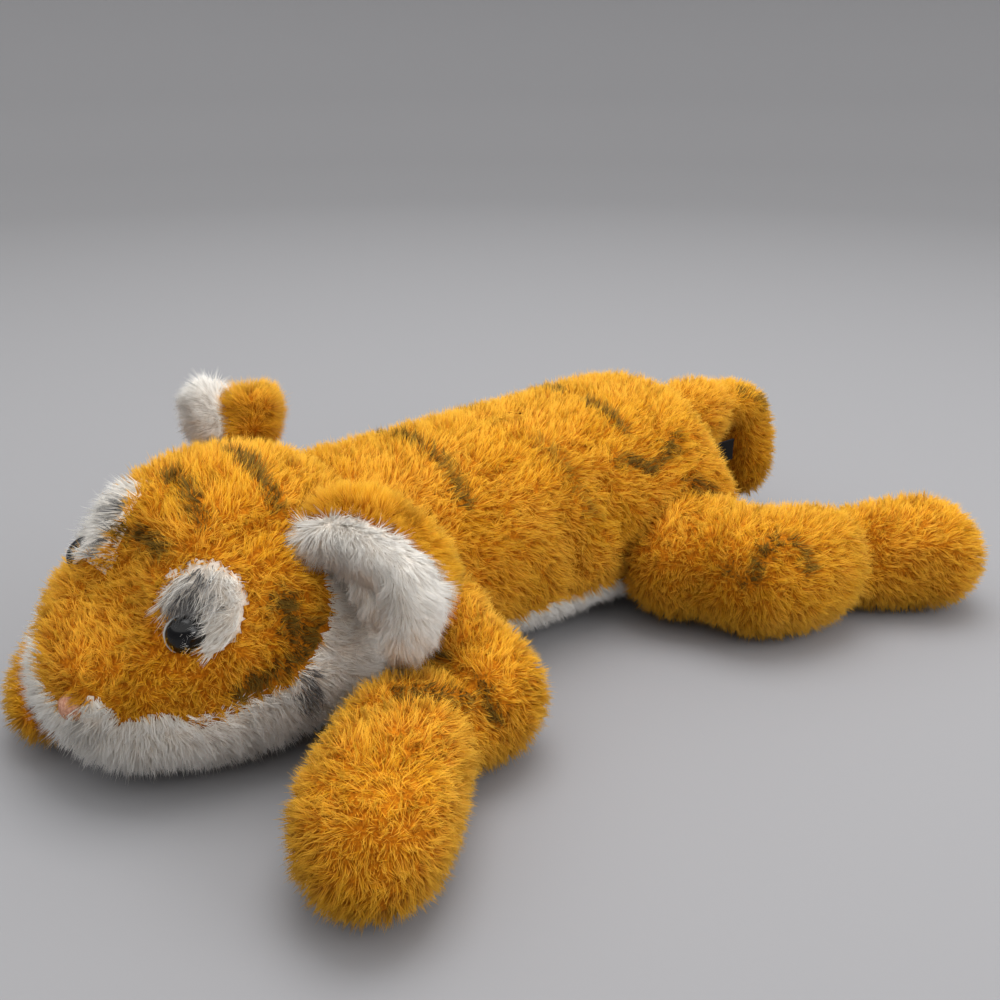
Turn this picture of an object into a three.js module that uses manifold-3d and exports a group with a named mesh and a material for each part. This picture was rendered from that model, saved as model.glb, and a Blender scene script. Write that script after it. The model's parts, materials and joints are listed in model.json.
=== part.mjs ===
// A plush tiger that lies on its belly, in millimetres.
// +X points to the tail, -Y is the toy's left side, +Z is up, and the floor is at z = 0.
// The fabric pieces are shells with the filling inside them. Their outer face is the middle of the pile.

import * as THREE from 'three';
import * as BufferGeometryUtils from 'three/addons/utils/BufferGeometryUtils.js';
import { ConvexGeometry } from 'three/addons/geometries/ConvexGeometry.js';
import Module from 'manifold-3d';

const wasm = await Module();
wasm.setup();

// Driving dimensions: fabric and clearances.
const fabric = 3;
const gap = 0.3;
const overrun = 20;
const flatCut = 0.5;

// Driving dimensions: body, as [share of length, half width, top, bottom] rows from neck to rump.
const bodyLength = 246;
const bodyHalfWidth = 60;
const bodyHeight = 109;
const bodyFront = -114;
const bodyShares = [
  [0, 0.85, 0.93, 0.04],
  [0.1, 0.92, 0.955, 0.01],
  [0.2, 0.96, 0.955, 0],
  [0.35, 0.97, 0.95, 0],
  [0.5, 0.95, 0.955, 0],
  [0.62, 0.98, 0.975, 0],
  [0.75, 1.05, 1, 0],
  [0.86, 1, 0.985, 0.01],
  [0.94, 0.93, 0.95, 0.03],
  [1, 0.8, 0.88, 0.1],
];
const bodyWidestShares = [0.48, 0.44];
const rumpRoundShare = 0.11;
const collarRoundShare = 0.06;

// Driving dimensions: the white belly, as an outline seen from below. It ends short of the body's ends.
const bellyFrontInset = 18;
const bellyBackInset = 52;
const bellyHalfWidth = 62;
const bellyHeight = 20;

// Driving dimensions: head. Its back is a ball, which rests in the collar of the body.
const headRadius = 60;
const headCentreX = -134;
const headTurnDegrees = 11;
const headRollDegrees = 9;
const muzzleReach = 92;
const headShares = [
  [0, 1, 2, 0],
  [0.15, 1.01, 1.98, 0],
  [0.3, 1.01, 1.91, 0],
  [0.45, 0.96, 1.8, 0.03],
  [0.6, 0.87, 1.6, 0.1],
  [0.75, 0.72, 1.34, 0.17],
  [0.88, 0.59, 1.13, 0.24],
  [1, 0.48, 0.96, 0.34],
];
const headWidestShares = [0.5, 0.36];
const headSettleShare = 0.3;
const headSquareness = 2.4;
const muzzleRoundShare = 0.2;

// Driving dimensions: the neck pad between the head's ball and the body filling, and the head's motion.
const neckPadThickness = 6;
const neckPadRadius = 16;
const headTurnRange = [0, 10];
const headNodRange = [0, 12];

// Driving dimensions: eyes, patches and nose, placed on the head by direction from its centre.
const eyeDiameter = 14;
const eyeDomeHeight = 6;
const eyeSink = 1.2;
const eyeStemDiameter = 4.5;
const eyeStemLength = 15;
const eyeRibDiameter = 5.4;
const eyeRibCount = 3;
const eyeX = -60;
const eyeY = 45;
const eyeZ = 79;
const washerDiameter = 16;
const washerThickness = 1.6;
const washerSink = 3.4;
const patchDiameter = 35;
const patchX = -46;
const patchY = 40;
const patchZ = 85;
const noseWidth = 24;
const noseHeight = 13;
const noseDepth = 14;
const noseZ = 42;

// Driving dimensions: the white lower part of the head, whose border is an outline seen from the side,
// as shares of the ball's radius from the head's centre line and the floor.
const whiteBorderShares = [
  [-1.45, 0.3],
  [-1.15, 0.28],
  [-0.75, 0.3],
  [-0.45, 0.36],
  [-0.12, 0.6],
  [0.12, 0.88],
  [0.3, 1.2],
  [0.42, 1.5],
];
const muzzleWhiteHeight = 40;
const muzzleWhiteReach = 30;
const bridgeTipHeight = 33;
const bridgeTipHalfWidth = 9;
const muzzleWhiteHalfWidth = 26;

// Driving dimensions: ears.
const earHeight = 40;
const earWidth = 46;
const earLayer = 4.5;
const earCupRadius = 36;
const earSink = 8;
const earClearance = 2;
const earPoses = {
  left: { base: [20, 48, 84], tip: [0.62, 0.68, -0.4], face: [-0.5, 0.7, 0.5], fold: [-10, 15] },
  right: { base: [28, 35, 101], tip: [0.05, 0.25, 0.97], face: [-0.82, 0.57, 0], fold: [-25, 25] },
};

// Driving dimensions: legs. A root lies inward of the body's front end (front) or rump (hind), out from its
// middle and up. Headings are degrees outward from straight ahead (front) or straight back (hind). Press is
// the share of its height that is left of a paw under the muzzle.
const legBall = 26;
const jointBall = 24;
const legRootWaist = 22.5;
const legWaist = 21;
const frontLeg = {
  root: [44, 54, 40],
  spans: [42, 42],
  endSpan: 80,
  halfWidth: 28,
  endHalfWidth: 31,
  endHalfHeight: 27,
};
const hindLeg = {
  root: [58, 56, 42],
  spans: [42, 72],
  endSpan: 62,
  halfWidth: 35,
  endHalfWidth: 31,
  endHalfHeight: 29,
};
const legPoses = {
  left_front: { stretch: 1, press: 1, headings: [82, 8, 42], swing: [-5, 35], bend: [-25, 25] },
  right_front: { stretch: 1.08, press: 0.7, headings: [22, -2, -42], swing: [0, 25], bend: [-25, 0] },
  left_hind: { stretch: 1, press: 1, headings: [73, 13, 34], swing: [-15, 25], bend: [-25, 25] },
  right_hind: { stretch: 1, press: 1, headings: [66, 16, 22], swing: [-15, 25], bend: [-25, 25] },
};
const legHeightShare = 0.96;
const limbBallSteps = 3;
const swingRoom = 2;
const bendRoom = 0.5;
const pawRoundShare = 0.42;
const pelletShare = 0.52;

// Driving dimensions: tail. Its root lies inward of the rump.
const tailRoot = [18, 0, 83];
const tailBall = 16;
const tailJointBall = 14;
const tailHalfWidth = 17;
const tailRootWaist = 13.5;
const tailWaist = 11.5;
const tailSpans = [62, 64];
const tailDrop = 7;
const tailEndLean = 14;
const tailRoundShare = 0.3;
const tailSwingRange = [-30, 30];
const tailBendRange = [-10, 50];

// Driving dimensions: pellet pouch in the belly and the blank label tab.
const pouchLength = 110;
const pouchWidth = 70;
const pouchHeight = 26;
const tabWidth = 12;
const tabReach = 10;
const tabDepth = 18;
const tabThickness = 1.2;
const tabY = -34;
const tabZ = 66;

// How finely a ball is divided, and how far out its flat facets lie for each detail, as shares of its radius.
const ballDetail = 2;
const headBallDetail = 3;
const fillingBallDetail = 1;
const flatShares = [0.79, 0.93, 0.97, 0.982];

const colours = {
  orange: 0xd9932b,
  white: 0xe6e0d8,
  filling: 0xf2f0ea,
  pellets: 0xcfd6d8,
  black: 0x0c0c10,
  pink: 0xb9837c,
  washer: 0xdadada,
  tab: 0x17171a,
};

// A three.js geometry as a solid that can be joined and cut.
function solidOf(geometry) {
  const bare = geometry.clone();
  bare.deleteAttribute('normal');
  bare.deleteAttribute('uv');
  const merged = BufferGeometryUtils.mergeVertices(bare, 1e-4);
  const mesh = new wasm.Mesh({
    numProp: 3,
    vertProperties: merged.attributes.position.array,
    triVerts: new Uint32Array(merged.index.array),
  });
  return new wasm.Manifold(mesh);
}

// A solid as a three.js geometry.
function geometryOf(solid) {
  const mesh = solid.getMesh();
  const geometry = new THREE.BufferGeometry();
  geometry.setAttribute('position', new THREE.BufferAttribute(mesh.vertProperties, 3));
  geometry.setIndex(new THREE.BufferAttribute(mesh.triVerts, 1));
  return geometry;
}

function moved(solid, matrix) {
  return solidOf(geometryOf(solid).applyMatrix4(matrix));
}

function ball(centre, radius, detail = ballDetail) {
  const geometry = new THREE.IcosahedronGeometry(radius, detail);
  return solidOf(geometry.translate(centre.x, centre.y, centre.z));
}

// A ball whose flat facets all lie outside the radius, so that what turns in its hollow stays clear.
function hollowBall(centre, radius, detail = ballDetail) {
  return ball(centre, radius / flatShares[detail], detail);
}

function hollowHeadBall(radius) {
  return hollowBall(headCentre, radius, headBallDetail);
}

function box(low, high) {
  const size = high.clone().sub(low);
  const middle = high.clone().add(low).multiplyScalar(0.5);
  const geometry = new THREE.BoxGeometry(size.x, size.y, size.z);
  return solidOf(geometry.translate(middle.x, middle.y, middle.z));
}

// A cylinder from one point to another.
function rod(from, to, radius, sides) {
  const along = to.clone().sub(from);
  const geometry = new THREE.CylinderGeometry(radius, radius, along.length(), sides);
  const turn = new THREE.Quaternion();
  turn.setFromUnitVectors(new THREE.Vector3(0, 1, 0), along.clone().normalize());
  geometry.applyQuaternion(turn);
  const middle = from.clone().add(to).multiplyScalar(0.5);
  return solidOf(geometry.translate(middle.x, middle.y, middle.z));
}

// One column of a table of rows at a given share of its length, smoothed through the rows.
function valueAt(rows, column, share) {
  let i = 0;
  while (i < rows.length - 2 && rows[i + 1][0] < share) i += 1;
  const before = rows[Math.max(i - 1, 0)];
  const start = rows[i];
  const end = rows[i + 1];
  const after = rows[Math.min(i + 2, rows.length - 1)];
  const span = end[0] - start[0];
  const t = (share - start[0]) / span;
  const slopeIn = ((end[column] - before[column]) / (end[0] - before[0])) * span;
  const slopeOut = ((after[column] - start[column]) / (after[0] - start[0])) * span;
  const rise = end[column] - start[column];
  const bend = t * t * (3 - 2 * t);
  return start[column] + rise * bend + slopeIn * t * (1 - t) ** 2 - slopeOut * t * t * (1 - t);
}

// How far a rounded end has swelled at a share of the length, from 0 at its tip to 1.
function roundEnd(share, roundShare) {
  if (roundShare === 0 || share >= roundShare) return 1;
  return Math.sqrt(1 - (1 - share / roundShare) ** 2);
}

// A swelling and tapering closed form through rings. Each ring has a centre, a side and an up direction,
// a half width, a rise above the centre and a drop below it. The end rings close on their centres.
function swelling(rings, around, power) {
  const points = [];
  const faces = [];
  for (const ring of rings) {
    const bulge = (value) => Math.sign(value) * Math.abs(value) ** (2 / (ring.power ?? power));
    for (let k = 0; k < around; k += 1) {
      const angle = (k / around) * 2 * Math.PI;
      const wide = bulge(Math.cos(angle)) * ring.halfWidth;
      const high = bulge(Math.sin(angle)) * (Math.sin(angle) > 0 ? ring.rise : ring.drop);
      const point = ring.centre.clone();
      point.addScaledVector(ring.side, wide);
      point.addScaledVector(ring.up, high);
      points.push(point.x, point.y, point.z);
    }
  }
  const first = rings[0].centre;
  const last = rings[rings.length - 1].centre;
  const firstPole = points.length / 3;
  points.push(first.x, first.y, first.z);
  points.push(last.x, last.y, last.z);
  for (let i = 0; i < rings.length - 1; i += 1) {
    for (let k = 0; k < around; k += 1) {
      const next = (k + 1) % around;
      const a = i * around + k;
      const b = i * around + next;
      faces.push(a, b, b + around, a, b + around, a + around);
    }
  }
  const lastStart = (rings.length - 1) * around;
  for (let k = 0; k < around; k += 1) {
    const next = (k + 1) % around;
    faces.push(firstPole, next, k);
    faces.push(firstPole + 1, lastStart + k, lastStart + next);
  }
  const geometry = new THREE.BufferGeometry();
  geometry.setAttribute('position', new THREE.Float32BufferAttribute(points, 3));
  geometry.setIndex(faces);
  return solidOf(geometry);
}

// Shares of a length that crowd together at its rounded ends.
function ringShares(count, startRound, endRound) {
  const shares = [];
  for (let i = 0; i <= count; i += 1) {
    const even = i / count;
    const crowded = 0.5 - 0.5 * Math.cos(even * Math.PI);
    const startMix = startRound > 0 && even < 0.5 ? 1 : 0;
    const endMix = endRound > 0 && even >= 0.5 ? 1 : 0;
    shares.push(startMix + endMix > 0 ? crowded : even);
  }
  return shares;
}

// A form along X from a table of [share, half width, top, bottom] rows. It is grown by a margin on
// every side, or shrunk by a negative one.
function bulkRingsAlongX(table, startX, length, widthUnit, heightUnit, form, margin) {
  const { widestShares, startRound, endRound, count } = form;
  const [widestFirst, widestLast] = widestShares;
  const { settleShare = 1, startPower = form.power } = form;
  const direction = Math.sign(length);
  const side = new THREE.Vector3(0, direction, 0);
  const up = new THREE.Vector3(0, 0, 1);
  return ringShares(count, startRound, endRound).map((share) => {
    const round = roundEnd(share, startRound) * roundEnd(1 - share, endRound);
    const top = valueAt(table, 2, share) * heightUnit;
    const bottom = valueAt(table, 3, share) * heightUnit - flatCut;
    const settled = Math.min(share / settleShare, 1);
    const level = bottom + (top - bottom) * (widestFirst + (widestLast - widestFirst) * settled);
    const stretch = direction * margin * (2 * share - 1);
    return {
      centre: new THREE.Vector3(startX + share * length + stretch, 0, level),
      side,
      up,
      halfWidth: Math.max(valueAt(table, 1, share) * widthUnit * round + margin, gap),
      rise: Math.max((top - level) * round + margin, gap),
      drop: Math.max((level - bottom) * round + margin, gap),
      power: startPower + (form.power - startPower) * settled,
    };
  });
}

function bulkAlongX(table, startX, length, widthUnit, heightUnit, form, margin) {
  const rings = bulkRingsAlongX(table, startX, length, widthUnit, heightUnit, form, margin);
  return swelling(rings, form.around, form.power);
}

// Rows of [distance along, radius, radius] on a ball, from one angle to another, where 0 is its start.
function ballRows(middle, radius, from, to, steps) {
  const rows = [];
  for (let i = 0; i <= steps; i += 1) {
    const angle = from + ((to - from) * i) / steps;
    const size = Math.max(radius * Math.sin(angle), gap);
    rows.push([middle - radius * Math.cos(angle), size, size]);
  }
  return rows;
}

// A limb along a curve through points, from rows of [distance, half width, half height]. Rows that lie
// before or after the curve, or are anchored to the start (0) or the end (1) of it, follow its end
// directions, and between them the rings turn evenly.
function bulkAlongCurve(points, rows, form) {
  const curve = new THREE.CatmullRomCurve3(points);
  const length = curve.getLength();
  const [startWay, endWay] = [curve.getTangentAt(0), curve.getTangentAt(1)];
  const rings = rows.map(([distance, halfWidth, halfHeight, level, anchor]) => {
    const share = anchor ?? Math.min(Math.max(distance / length, 0), 1);
    const centre = curve.getPointAt(share);
    const ahead = startWay.clone().lerp(endWay, share).normalize();
    const side = new THREE.Vector3().crossVectors(form.up, ahead).normalize();
    const up = new THREE.Vector3().crossVectors(ahead, side);
    centre.addScaledVector(ahead, distance - share * length);
    if (level !== undefined) centre.z = level;
    return { centre, side, up, halfWidth, rise: halfHeight, drop: halfHeight };
  });
  return swelling(rings, form.around, form.power);
}

// Where a limb's tube starts beyond the waist of its root ball, and how far it runs to the next waist.
function tubeOf({ rootBall, rootWaist, endBall, endWaist }, length) {
  const tubeStart = Math.sqrt(rootBall ** 2 - rootWaist ** 2);
  const tubeSpan = length - tubeStart - Math.sqrt(endBall ** 2 - endWaist ** 2);
  return { tubeStart, tubeSpan };
}

// Rows of a limb with a ball at its root and, past its tube, a smaller ball at its second joint. The
// tube's own rows are shares of the way between the two waists. With no second ball the tube ends there.
function limbRows(shape, length, margin, hasEndBall) {
  const { rootBall, rootWaist, endBall, endWaist, tube } = shape;
  const rootAngle = Math.asin(rootWaist / rootBall);
  const endAngle = Math.asin(endWaist / endBall);
  const { tubeStart, tubeSpan } = tubeOf(shape, length);
  const anchored = (rows, anchor) => rows.map(([distance, wide, high]) => [
    distance, wide, high, undefined, anchor]);
  const rootRows = ballRows(0, rootBall + margin, 0, Math.PI - rootAngle, limbBallSteps);
  const tubeRows = tube.map(([share, wide, high]) => [
    tubeStart + share * tubeSpan, wide + margin, high + margin]);
  const endRing = [[length, endWaist + margin, endWaist + margin]];
  const endRows = ballRows(length, endBall + margin, endAngle, Math.PI, limbBallSteps);
  return [...anchored(rootRows, 0), ...tubeRows, ...anchored(hasEndBall ? endRows : endRing, 1)];
}

// How far out a limb reaches sideways at distances from its root, for the room that it turns in.
function limbReach(shape, length, room) {
  const { tubeStart, tubeSpan } = tubeOf(shape, length);
  const rows = shape.tube.slice(0, 3).map(([share, wide]) => [tubeStart + share * tubeSpan, wide + room]);
  return [[-room, shape.rootWaist + room], [tubeStart, shape.rootWaist + room], ...rows];
}

const farReach = bodyLength * 2;
const rumpEnd = bodyFront + bodyLength;
const belowFloor = box(
  new THREE.Vector3(-farReach, -farReach, -farReach),
  new THREE.Vector3(farReach, farReach, 0),
);

const tiger = new THREE.Group();

function addPiece(name, solid, colour, roughness = 0.95) {
  const material = new THREE.MeshStandardMaterial({ color: colour, roughness, metalness: 0 });
  const mesh = new THREE.Mesh(geometryOf(solid), material);
  mesh.name = name;
  tiger.add(mesh);
}

// A solid turned about an axis through a pivot.
function turned(solid, pivot, axis, degrees) {
  const matrix = new THREE.Matrix4().makeTranslation(pivot.x, pivot.y, pivot.z);
  matrix.multiply(new THREE.Matrix4().makeRotationAxis(axis, THREE.MathUtils.degToRad(degrees)));
  matrix.multiply(new THREE.Matrix4().makeTranslation(-pivot.x, -pivot.y, -pivot.z));
  return moved(solid, matrix);
}

// What is left of a solid when another one turns past it in a few steps.
function clearedOf(solid, mover, pivot, axis, range, steps) {
  const [low, high] = range;
  let left = solid;
  for (let i = 0; i <= steps; i += 1) {
    left = left.subtract(turned(mover, pivot, axis, low + ((high - low) * i) / steps));
  }
  return left;
}

// The room that a limb needs as it turns through a range: a fan as wide as the limb at each
// [distance, half width] step, and as thick as the limb is at its root.
function turningRoom(pivot, ahead, axis, range, steps, halfThickness) {
  const edge = (degrees, sign) => steps.map(([distance, half]) => {
    const angle = THREE.MathUtils.degToRad(degrees);
    const x = distance * Math.cos(angle) - sign * half * Math.sin(angle);
    const y = distance * Math.sin(angle) + sign * half * Math.cos(angle);
    return new THREE.Vector2(x, y);
  });
  const outline = new THREE.Shape([...edge(range[0], -1), ...edge(range[1], 1).reverse()]);
  const settings = { depth: 2 * halfThickness, bevelEnabled: false };
  const geometry = new THREE.ExtrudeGeometry(outline, settings).translate(0, 0, -halfThickness);
  const flat = ahead.clone().addScaledVector(axis, -ahead.dot(axis)).normalize();
  const across = new THREE.Vector3().crossVectors(axis, flat);
  const frame = new THREE.Matrix4().makeBasis(flat, across, axis).setPosition(pivot);
  return solidOf(geometry.applyMatrix4(frame));
}

// Body and head as whole forms.
const bodyForm = {
  widestShares: bodyWidestShares,
  startRound: collarRoundShare,
  endRound: rumpRoundShare,
  count: 10,
  around: 18,
  power: 2.3,
};
const plainBodyForm = { ...bodyForm, count: 8, around: 12 };
const bodyBulk = (margin) => {
  const form = margin < 0 ? plainBodyForm : bodyForm;
  return bulkAlongX(bodyShares, bodyFront, bodyLength, bodyHalfWidth, bodyHeight, form, margin);
};

const headCentre = new THREE.Vector3(headCentreX, 0, headRadius);
const headForm = {
  widestShares: headWidestShares,
  settleShare: headSettleShare,
  startRound: 0,
  endRound: muzzleRoundShare,
  count: 7,
  around: 18,
  startPower: 2,
  power: headSquareness,
  backSteps: 5,
};
const plainHeadForm = { ...headForm, count: 6, around: 14, backSteps: 3 };
// The rings of the ball at the back of the head, then those of its front.
function headBulk(margin, form = margin < 0 ? plainHeadForm : headForm) {
  const rings = ballRows(0, headRadius + margin, 0, Math.PI / 2, form.backSteps).map(([along, radius]) => ({
    centre: headCentre.clone().add(new THREE.Vector3(-along, 0, 0)),
    side: new THREE.Vector3(0, -1, 0),
    up: new THREE.Vector3(0, 0, 1),
    halfWidth: radius,
    rise: radius,
    drop: radius,
    power: form.startPower,
  }));
  const front = bulkRingsAlongX(
    headShares, headCentreX, -muzzleReach, headRadius, headRadius, form, margin);
  return swelling([...rings.slice(0, -1), ...front], form.around, form.power);
}
// The head as a whole is turned and rolled a little about the centre of its ball.
const headPose = new THREE.Matrix4().makeTranslation(headCentre.x, 0, headCentre.z);
headPose.multiply(new THREE.Matrix4().makeRotationZ(THREE.MathUtils.degToRad(headTurnDegrees)));
headPose.multiply(new THREE.Matrix4().makeRotationX(THREE.MathUtils.degToRad(headRollDegrees)));
headPose.multiply(new THREE.Matrix4().makeTranslation(-headCentre.x, 0, -headCentre.z));
const inHead = (solid) => moved(solid, headPose);

// Legs: an upper part with a ball at each end, and a paw or foot whose mouth holds the second ball.
const legs = {};
for (const [name, pose] of Object.entries(legPoses)) {
  const side = name.startsWith('left') ? -1 : 1;
  const front = name.endsWith('front');
  const shape = front ? frontLeg : hindLeg;
  const { halfWidth, endHalfWidth, endHalfHeight } = shape;
  const [rootInset, rootY, rootZ] = shape.root;
  const rootX = front ? bodyFront + rootInset : rumpEnd - rootInset;
  const spans = [...shape.spans.map((span) => span * pose.stretch), shape.endSpan];
  const forward = front ? -1 : 1;
  const mouthLevel = jointBall + gap + fabric - flatCut;
  const levels = [rootZ, halfWidth * legHeightShare - flatCut, mouthLevel, endHalfHeight - flatCut];
  const points = [new THREE.Vector3(rootX, side * rootY, rootZ)];
  pose.headings.forEach((degrees, i) => {
    const heading = THREE.MathUtils.degToRad(degrees);
    const last = points[i];
    const x = last.x + forward * spans[i] * Math.cos(heading);
    const y = last.y + side * spans[i] * Math.sin(heading);
    points.push(new THREE.Vector3(x, y, levels[i + 1]));
  });
  const { press, swing, bend } = pose;
  legs[name] = { side, front, points, halfWidth, endHalfHeight, endHalfWidth, press, swing, bend };
}

const legShape = (half) => ({
  rootBall: legBall,
  rootWaist: legRootWaist,
  endBall: jointBall,
  endWaist: legWaist,
  tube: [
    [0.2, half * 0.92, half * 0.9],
    [0.42, half, half * legHeightShare],
    [0.66, half, half * legHeightShare],
    [0.86, half * 0.86, half * 0.84],
  ],
});
const upVector = new THREE.Vector3(0, 0, 1);
const sideVector = new THREE.Vector3(0, 1, 0);

function upperLegBulk(leg, margin, hasEndBall = true) {
  const points = leg.points.slice(0, 3);
  const length = new THREE.CatmullRomCurve3(points).getLength();
  const rows = limbRows(legShape(leg.halfWidth), length, margin, hasEndBall);
  const around = margin < 0 ? 8 : 11;
  return bulkAlongCurve(points, rows, { up: upVector, around, power: 2 }).subtract(belowFloor);
}

// Rows of an end piece, from its mouth to its rounded tip, lying on the floor if it has a level.
function endRows(table, length, roundShare, count, margin, lies) {
  return ringShares(count, 0, roundShare).map((share) => {
    const round = roundEnd(1 - share, roundShare);
    const half = valueAt(table, 2, share);
    const row = [
      share * length + margin * (2 * share - 1),
      Math.max(valueAt(table, 1, share) * round + margin, gap),
      Math.max(half * round + margin, gap),
    ];
    if (lies) row.push(half - flatCut);
    return row;
  });
}

function endBulk(leg, margin) {
  const mouth = jointBall + gap + fabric;
  const table = [
    [0, mouth, mouth],
    [0.25, (mouth + leg.endHalfWidth) / 2, (mouth + leg.endHalfHeight) / 2],
    [0.55, leg.endHalfWidth, leg.endHalfHeight * (0.5 + leg.press / 2)],
    [0.8, leg.endHalfWidth, leg.endHalfHeight * leg.press],
    [1, leg.endHalfWidth * 0.88, leg.endHalfHeight * 0.88 * leg.press],
  ];
  const [start, tip] = leg.points.slice(2);
  const middle = start.clone().lerp(tip, 0.5);
  const rows = endRows(table, tip.distanceTo(start), pawRoundShare, 7, margin, true);
  const around = margin < 0 ? 8 : 12;
  return bulkAlongCurve([start, middle, tip], rows, { up: upVector, around, power: 2.3 });
}

// Where a joint bends: its axis lifts the end that lies ahead.
function liftAxis(ahead) {
  return new THREE.Vector3().crossVectors(ahead, upVector).normalize();
}

for (const leg of Object.values(legs)) {
  const outward = leg.side * (leg.front ? -1 : 1);
  leg.swingAxis = new THREE.Vector3(0, 0, outward);
  const ahead = leg.points[3].clone().sub(leg.points[2]).setZ(0);
  leg.bendAxis = liftAxis(ahead);
}

// The tail lies back from the rump and droops beyond its fold.
const [tailInset, tailY, tailZ] = tailRoot;
const tailX = rumpEnd - tailInset;
const [tailBaseSpan, tailEndSpan] = tailSpans;
const tailStart = new THREE.Vector3(tailX, tailY, tailZ);
const tailFold = new THREE.Vector3(tailX + tailBaseSpan, tailY, tailZ - tailDrop);
const tailLean = THREE.MathUtils.degToRad(tailEndLean);
const tailAhead = new THREE.Vector3(Math.sin(tailLean), 0, -Math.cos(tailLean));
const tailTip = tailFold.clone().addScaledVector(tailAhead, tailEndSpan);
const tailBendAxis = new THREE.Vector3(0, -1, 0);
const backVector = new THREE.Vector3(-1, 0, 0);

const tailShape = {
  rootBall: tailBall,
  rootWaist: tailRootWaist,
  endBall: tailJointBall,
  endWaist: tailWaist,
  tube: [
    [0.3, tailHalfWidth, tailHalfWidth],
    [0.7, tailHalfWidth, tailHalfWidth],
  ],
};

function tailBaseBulk(margin, hasEndBall = true) {
  const rows = limbRows(tailShape, tailBaseSpan, margin, hasEndBall);
  const middle = tailStart.clone().lerp(tailFold, 0.5);
  const around = margin < 0 ? 7 : 10;
  return bulkAlongCurve([tailStart, middle, tailFold], rows, { up: upVector, around, power: 2 });
}

function tailEndBulk(margin) {
  const mouth = tailJointBall + gap + fabric;
  const table = [
    [0, mouth, mouth],
    [0.5, tailHalfWidth, tailHalfWidth],
    [1, tailHalfWidth * 0.9, tailHalfWidth * 0.9],
  ];
  const rows = endRows(table, tailEndSpan, tailRoundShare, 7, margin, false);
  const middle = tailFold.clone().lerp(tailTip, 0.5);
  const around = margin < 0 ? 7 : 10;
  return bulkAlongCurve([tailFold, middle, tailTip], rows, { up: backVector, around, power: 2 });
}

// The room that the head needs as it turns beside a leg, and as that leg swings away from it, as one
// bulging form.
const wideHead = inHead(headBulk(gap + gap));
function headRoom(leg, ofPaw) {
  const points = [];
  const places = [
    [headCentre, upVector, headTurnRange],
    [headCentre, sideVector, headNodRange],
    [leg.points[0], leg.swingAxis, leg.swing.map((degrees) => -degrees)],
  ];
  if (ofPaw) places.push([leg.points[2], leg.bendAxis, leg.bend.map((degrees) => -degrees)]);
  for (const [pivot, axis, range] of places) {
    for (const degrees of [range[0], (range[0] + range[1]) / 2, range[1]]) {
      const position = geometryOf(turned(wideHead, pivot, axis, degrees)).getAttribute('position');
      for (let i = 0; i < position.count; i += 1) {
        points.push(new THREE.Vector3().fromBufferAttribute(position, i));
      }
    }
  }
  return solidOf(new ConvexGeometry(points));
}

// Body pieces.
function withoutNeighbours(solid, headGap, detail) {
  let left = solid.subtract(hollowHeadBall(headRadius + headGap));
  for (const leg of Object.values(legs)) {
    const [root, bend] = leg.points;
    const length = bend.distanceTo(root) + leg.points[2].distanceTo(bend);
    const steps = limbReach(legShape(leg.halfWidth), length, swingRoom);
    const ahead = bend.clone().sub(root).setZ(0);
    const thick = legBall + gap;
    left = left.subtract(turningRoom(root, ahead, leg.swingAxis, leg.swing, steps, thick));
    left = left.subtract(hollowBall(root, legBall + gap, detail));
  }
  const tailSteps = limbReach(tailShape, tailBaseSpan, swingRoom);
  const tailBack = tailFold.clone().sub(tailStart);
  const tailThick = tailHalfWidth + swingRoom;
  const tailRoom = turningRoom(tailStart, tailBack, upVector, tailSwingRange, tailSteps, tailThick);
  return left.subtract(tailRoom).subtract(hollowBall(tailStart, tailBall + gap, detail)).subtract(belowFloor);
}

function bellyRegion(margin) {
  const outline = new THREE.Shape();
  const front = bodyFront + bellyFrontInset;
  const back = rumpEnd - bellyBackInset;
  const halfLength = (back - front) / 2;
  outline.absellipse((front + back) / 2, 0, halfLength + margin, bellyHalfWidth + margin, 0, 2 * Math.PI);
  const depth = bellyHeight + margin + overrun;
  const settings = { depth, bevelEnabled: false, curveSegments: 16 };
  return solidOf(new THREE.ExtrudeGeometry(outline, settings).translate(0, 0, -overrun));
}

const bodySkin = withoutNeighbours(bodyBulk(0).subtract(bodyBulk(-fabric)), gap, ballDetail);
const tabSlot = box(
  new THREE.Vector3(0, tabY - tabThickness / 2 - gap, tabZ - tabWidth / 2 - gap),
  new THREE.Vector3(farReach, tabY + tabThickness / 2 + gap, tabZ + tabWidth / 2 + gap),
);
const bodyFilled = bodyBulk(-fabric - gap);
const pouchBulk = (margin) => {
  const geometry = new THREE.SphereGeometry(1, 12, 8);
  geometry.scale(pouchLength / 2 + margin, pouchWidth / 2 + margin, pouchHeight / 2 + margin);
  return solidOf(geometry.translate(0, 0, pouchHeight / 2 + fabric));
};
addPiece('back_panel', bodySkin.subtract(bellyRegion(gap)).subtract(tabSlot), colours.orange);
addPiece('belly_panel', bodySkin.intersect(bellyRegion(0)), colours.white);
const fillingRoom = gap + neckPadThickness + gap;
const bodyRest = withoutNeighbours(bodyFilled, fillingRoom, fillingBallDetail);
addPiece('body_stuffing', bodyRest.subtract(pouchBulk(gap)), colours.filling);
addPiece('pellet_pouch', bodyFilled.intersect(pouchBulk(0)), colours.pellets);

// The pad of filling in the neck, a slice of a ball round the centre of the head's ball.
const padAhead = new THREE.Vector3(headCentre.x + headRadius + overrun, 0, headCentre.z);
const padBall = ball(headCentre, headRadius + gap + neckPadThickness, headBallDetail);
const padHollow = hollowHeadBall(headRadius + gap);
const padRod = rod(headCentre, padAhead, neckPadRadius, 16);
addPiece('neck_pad', padBall.intersect(padRod).subtract(padHollow), colours.filling);

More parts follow.
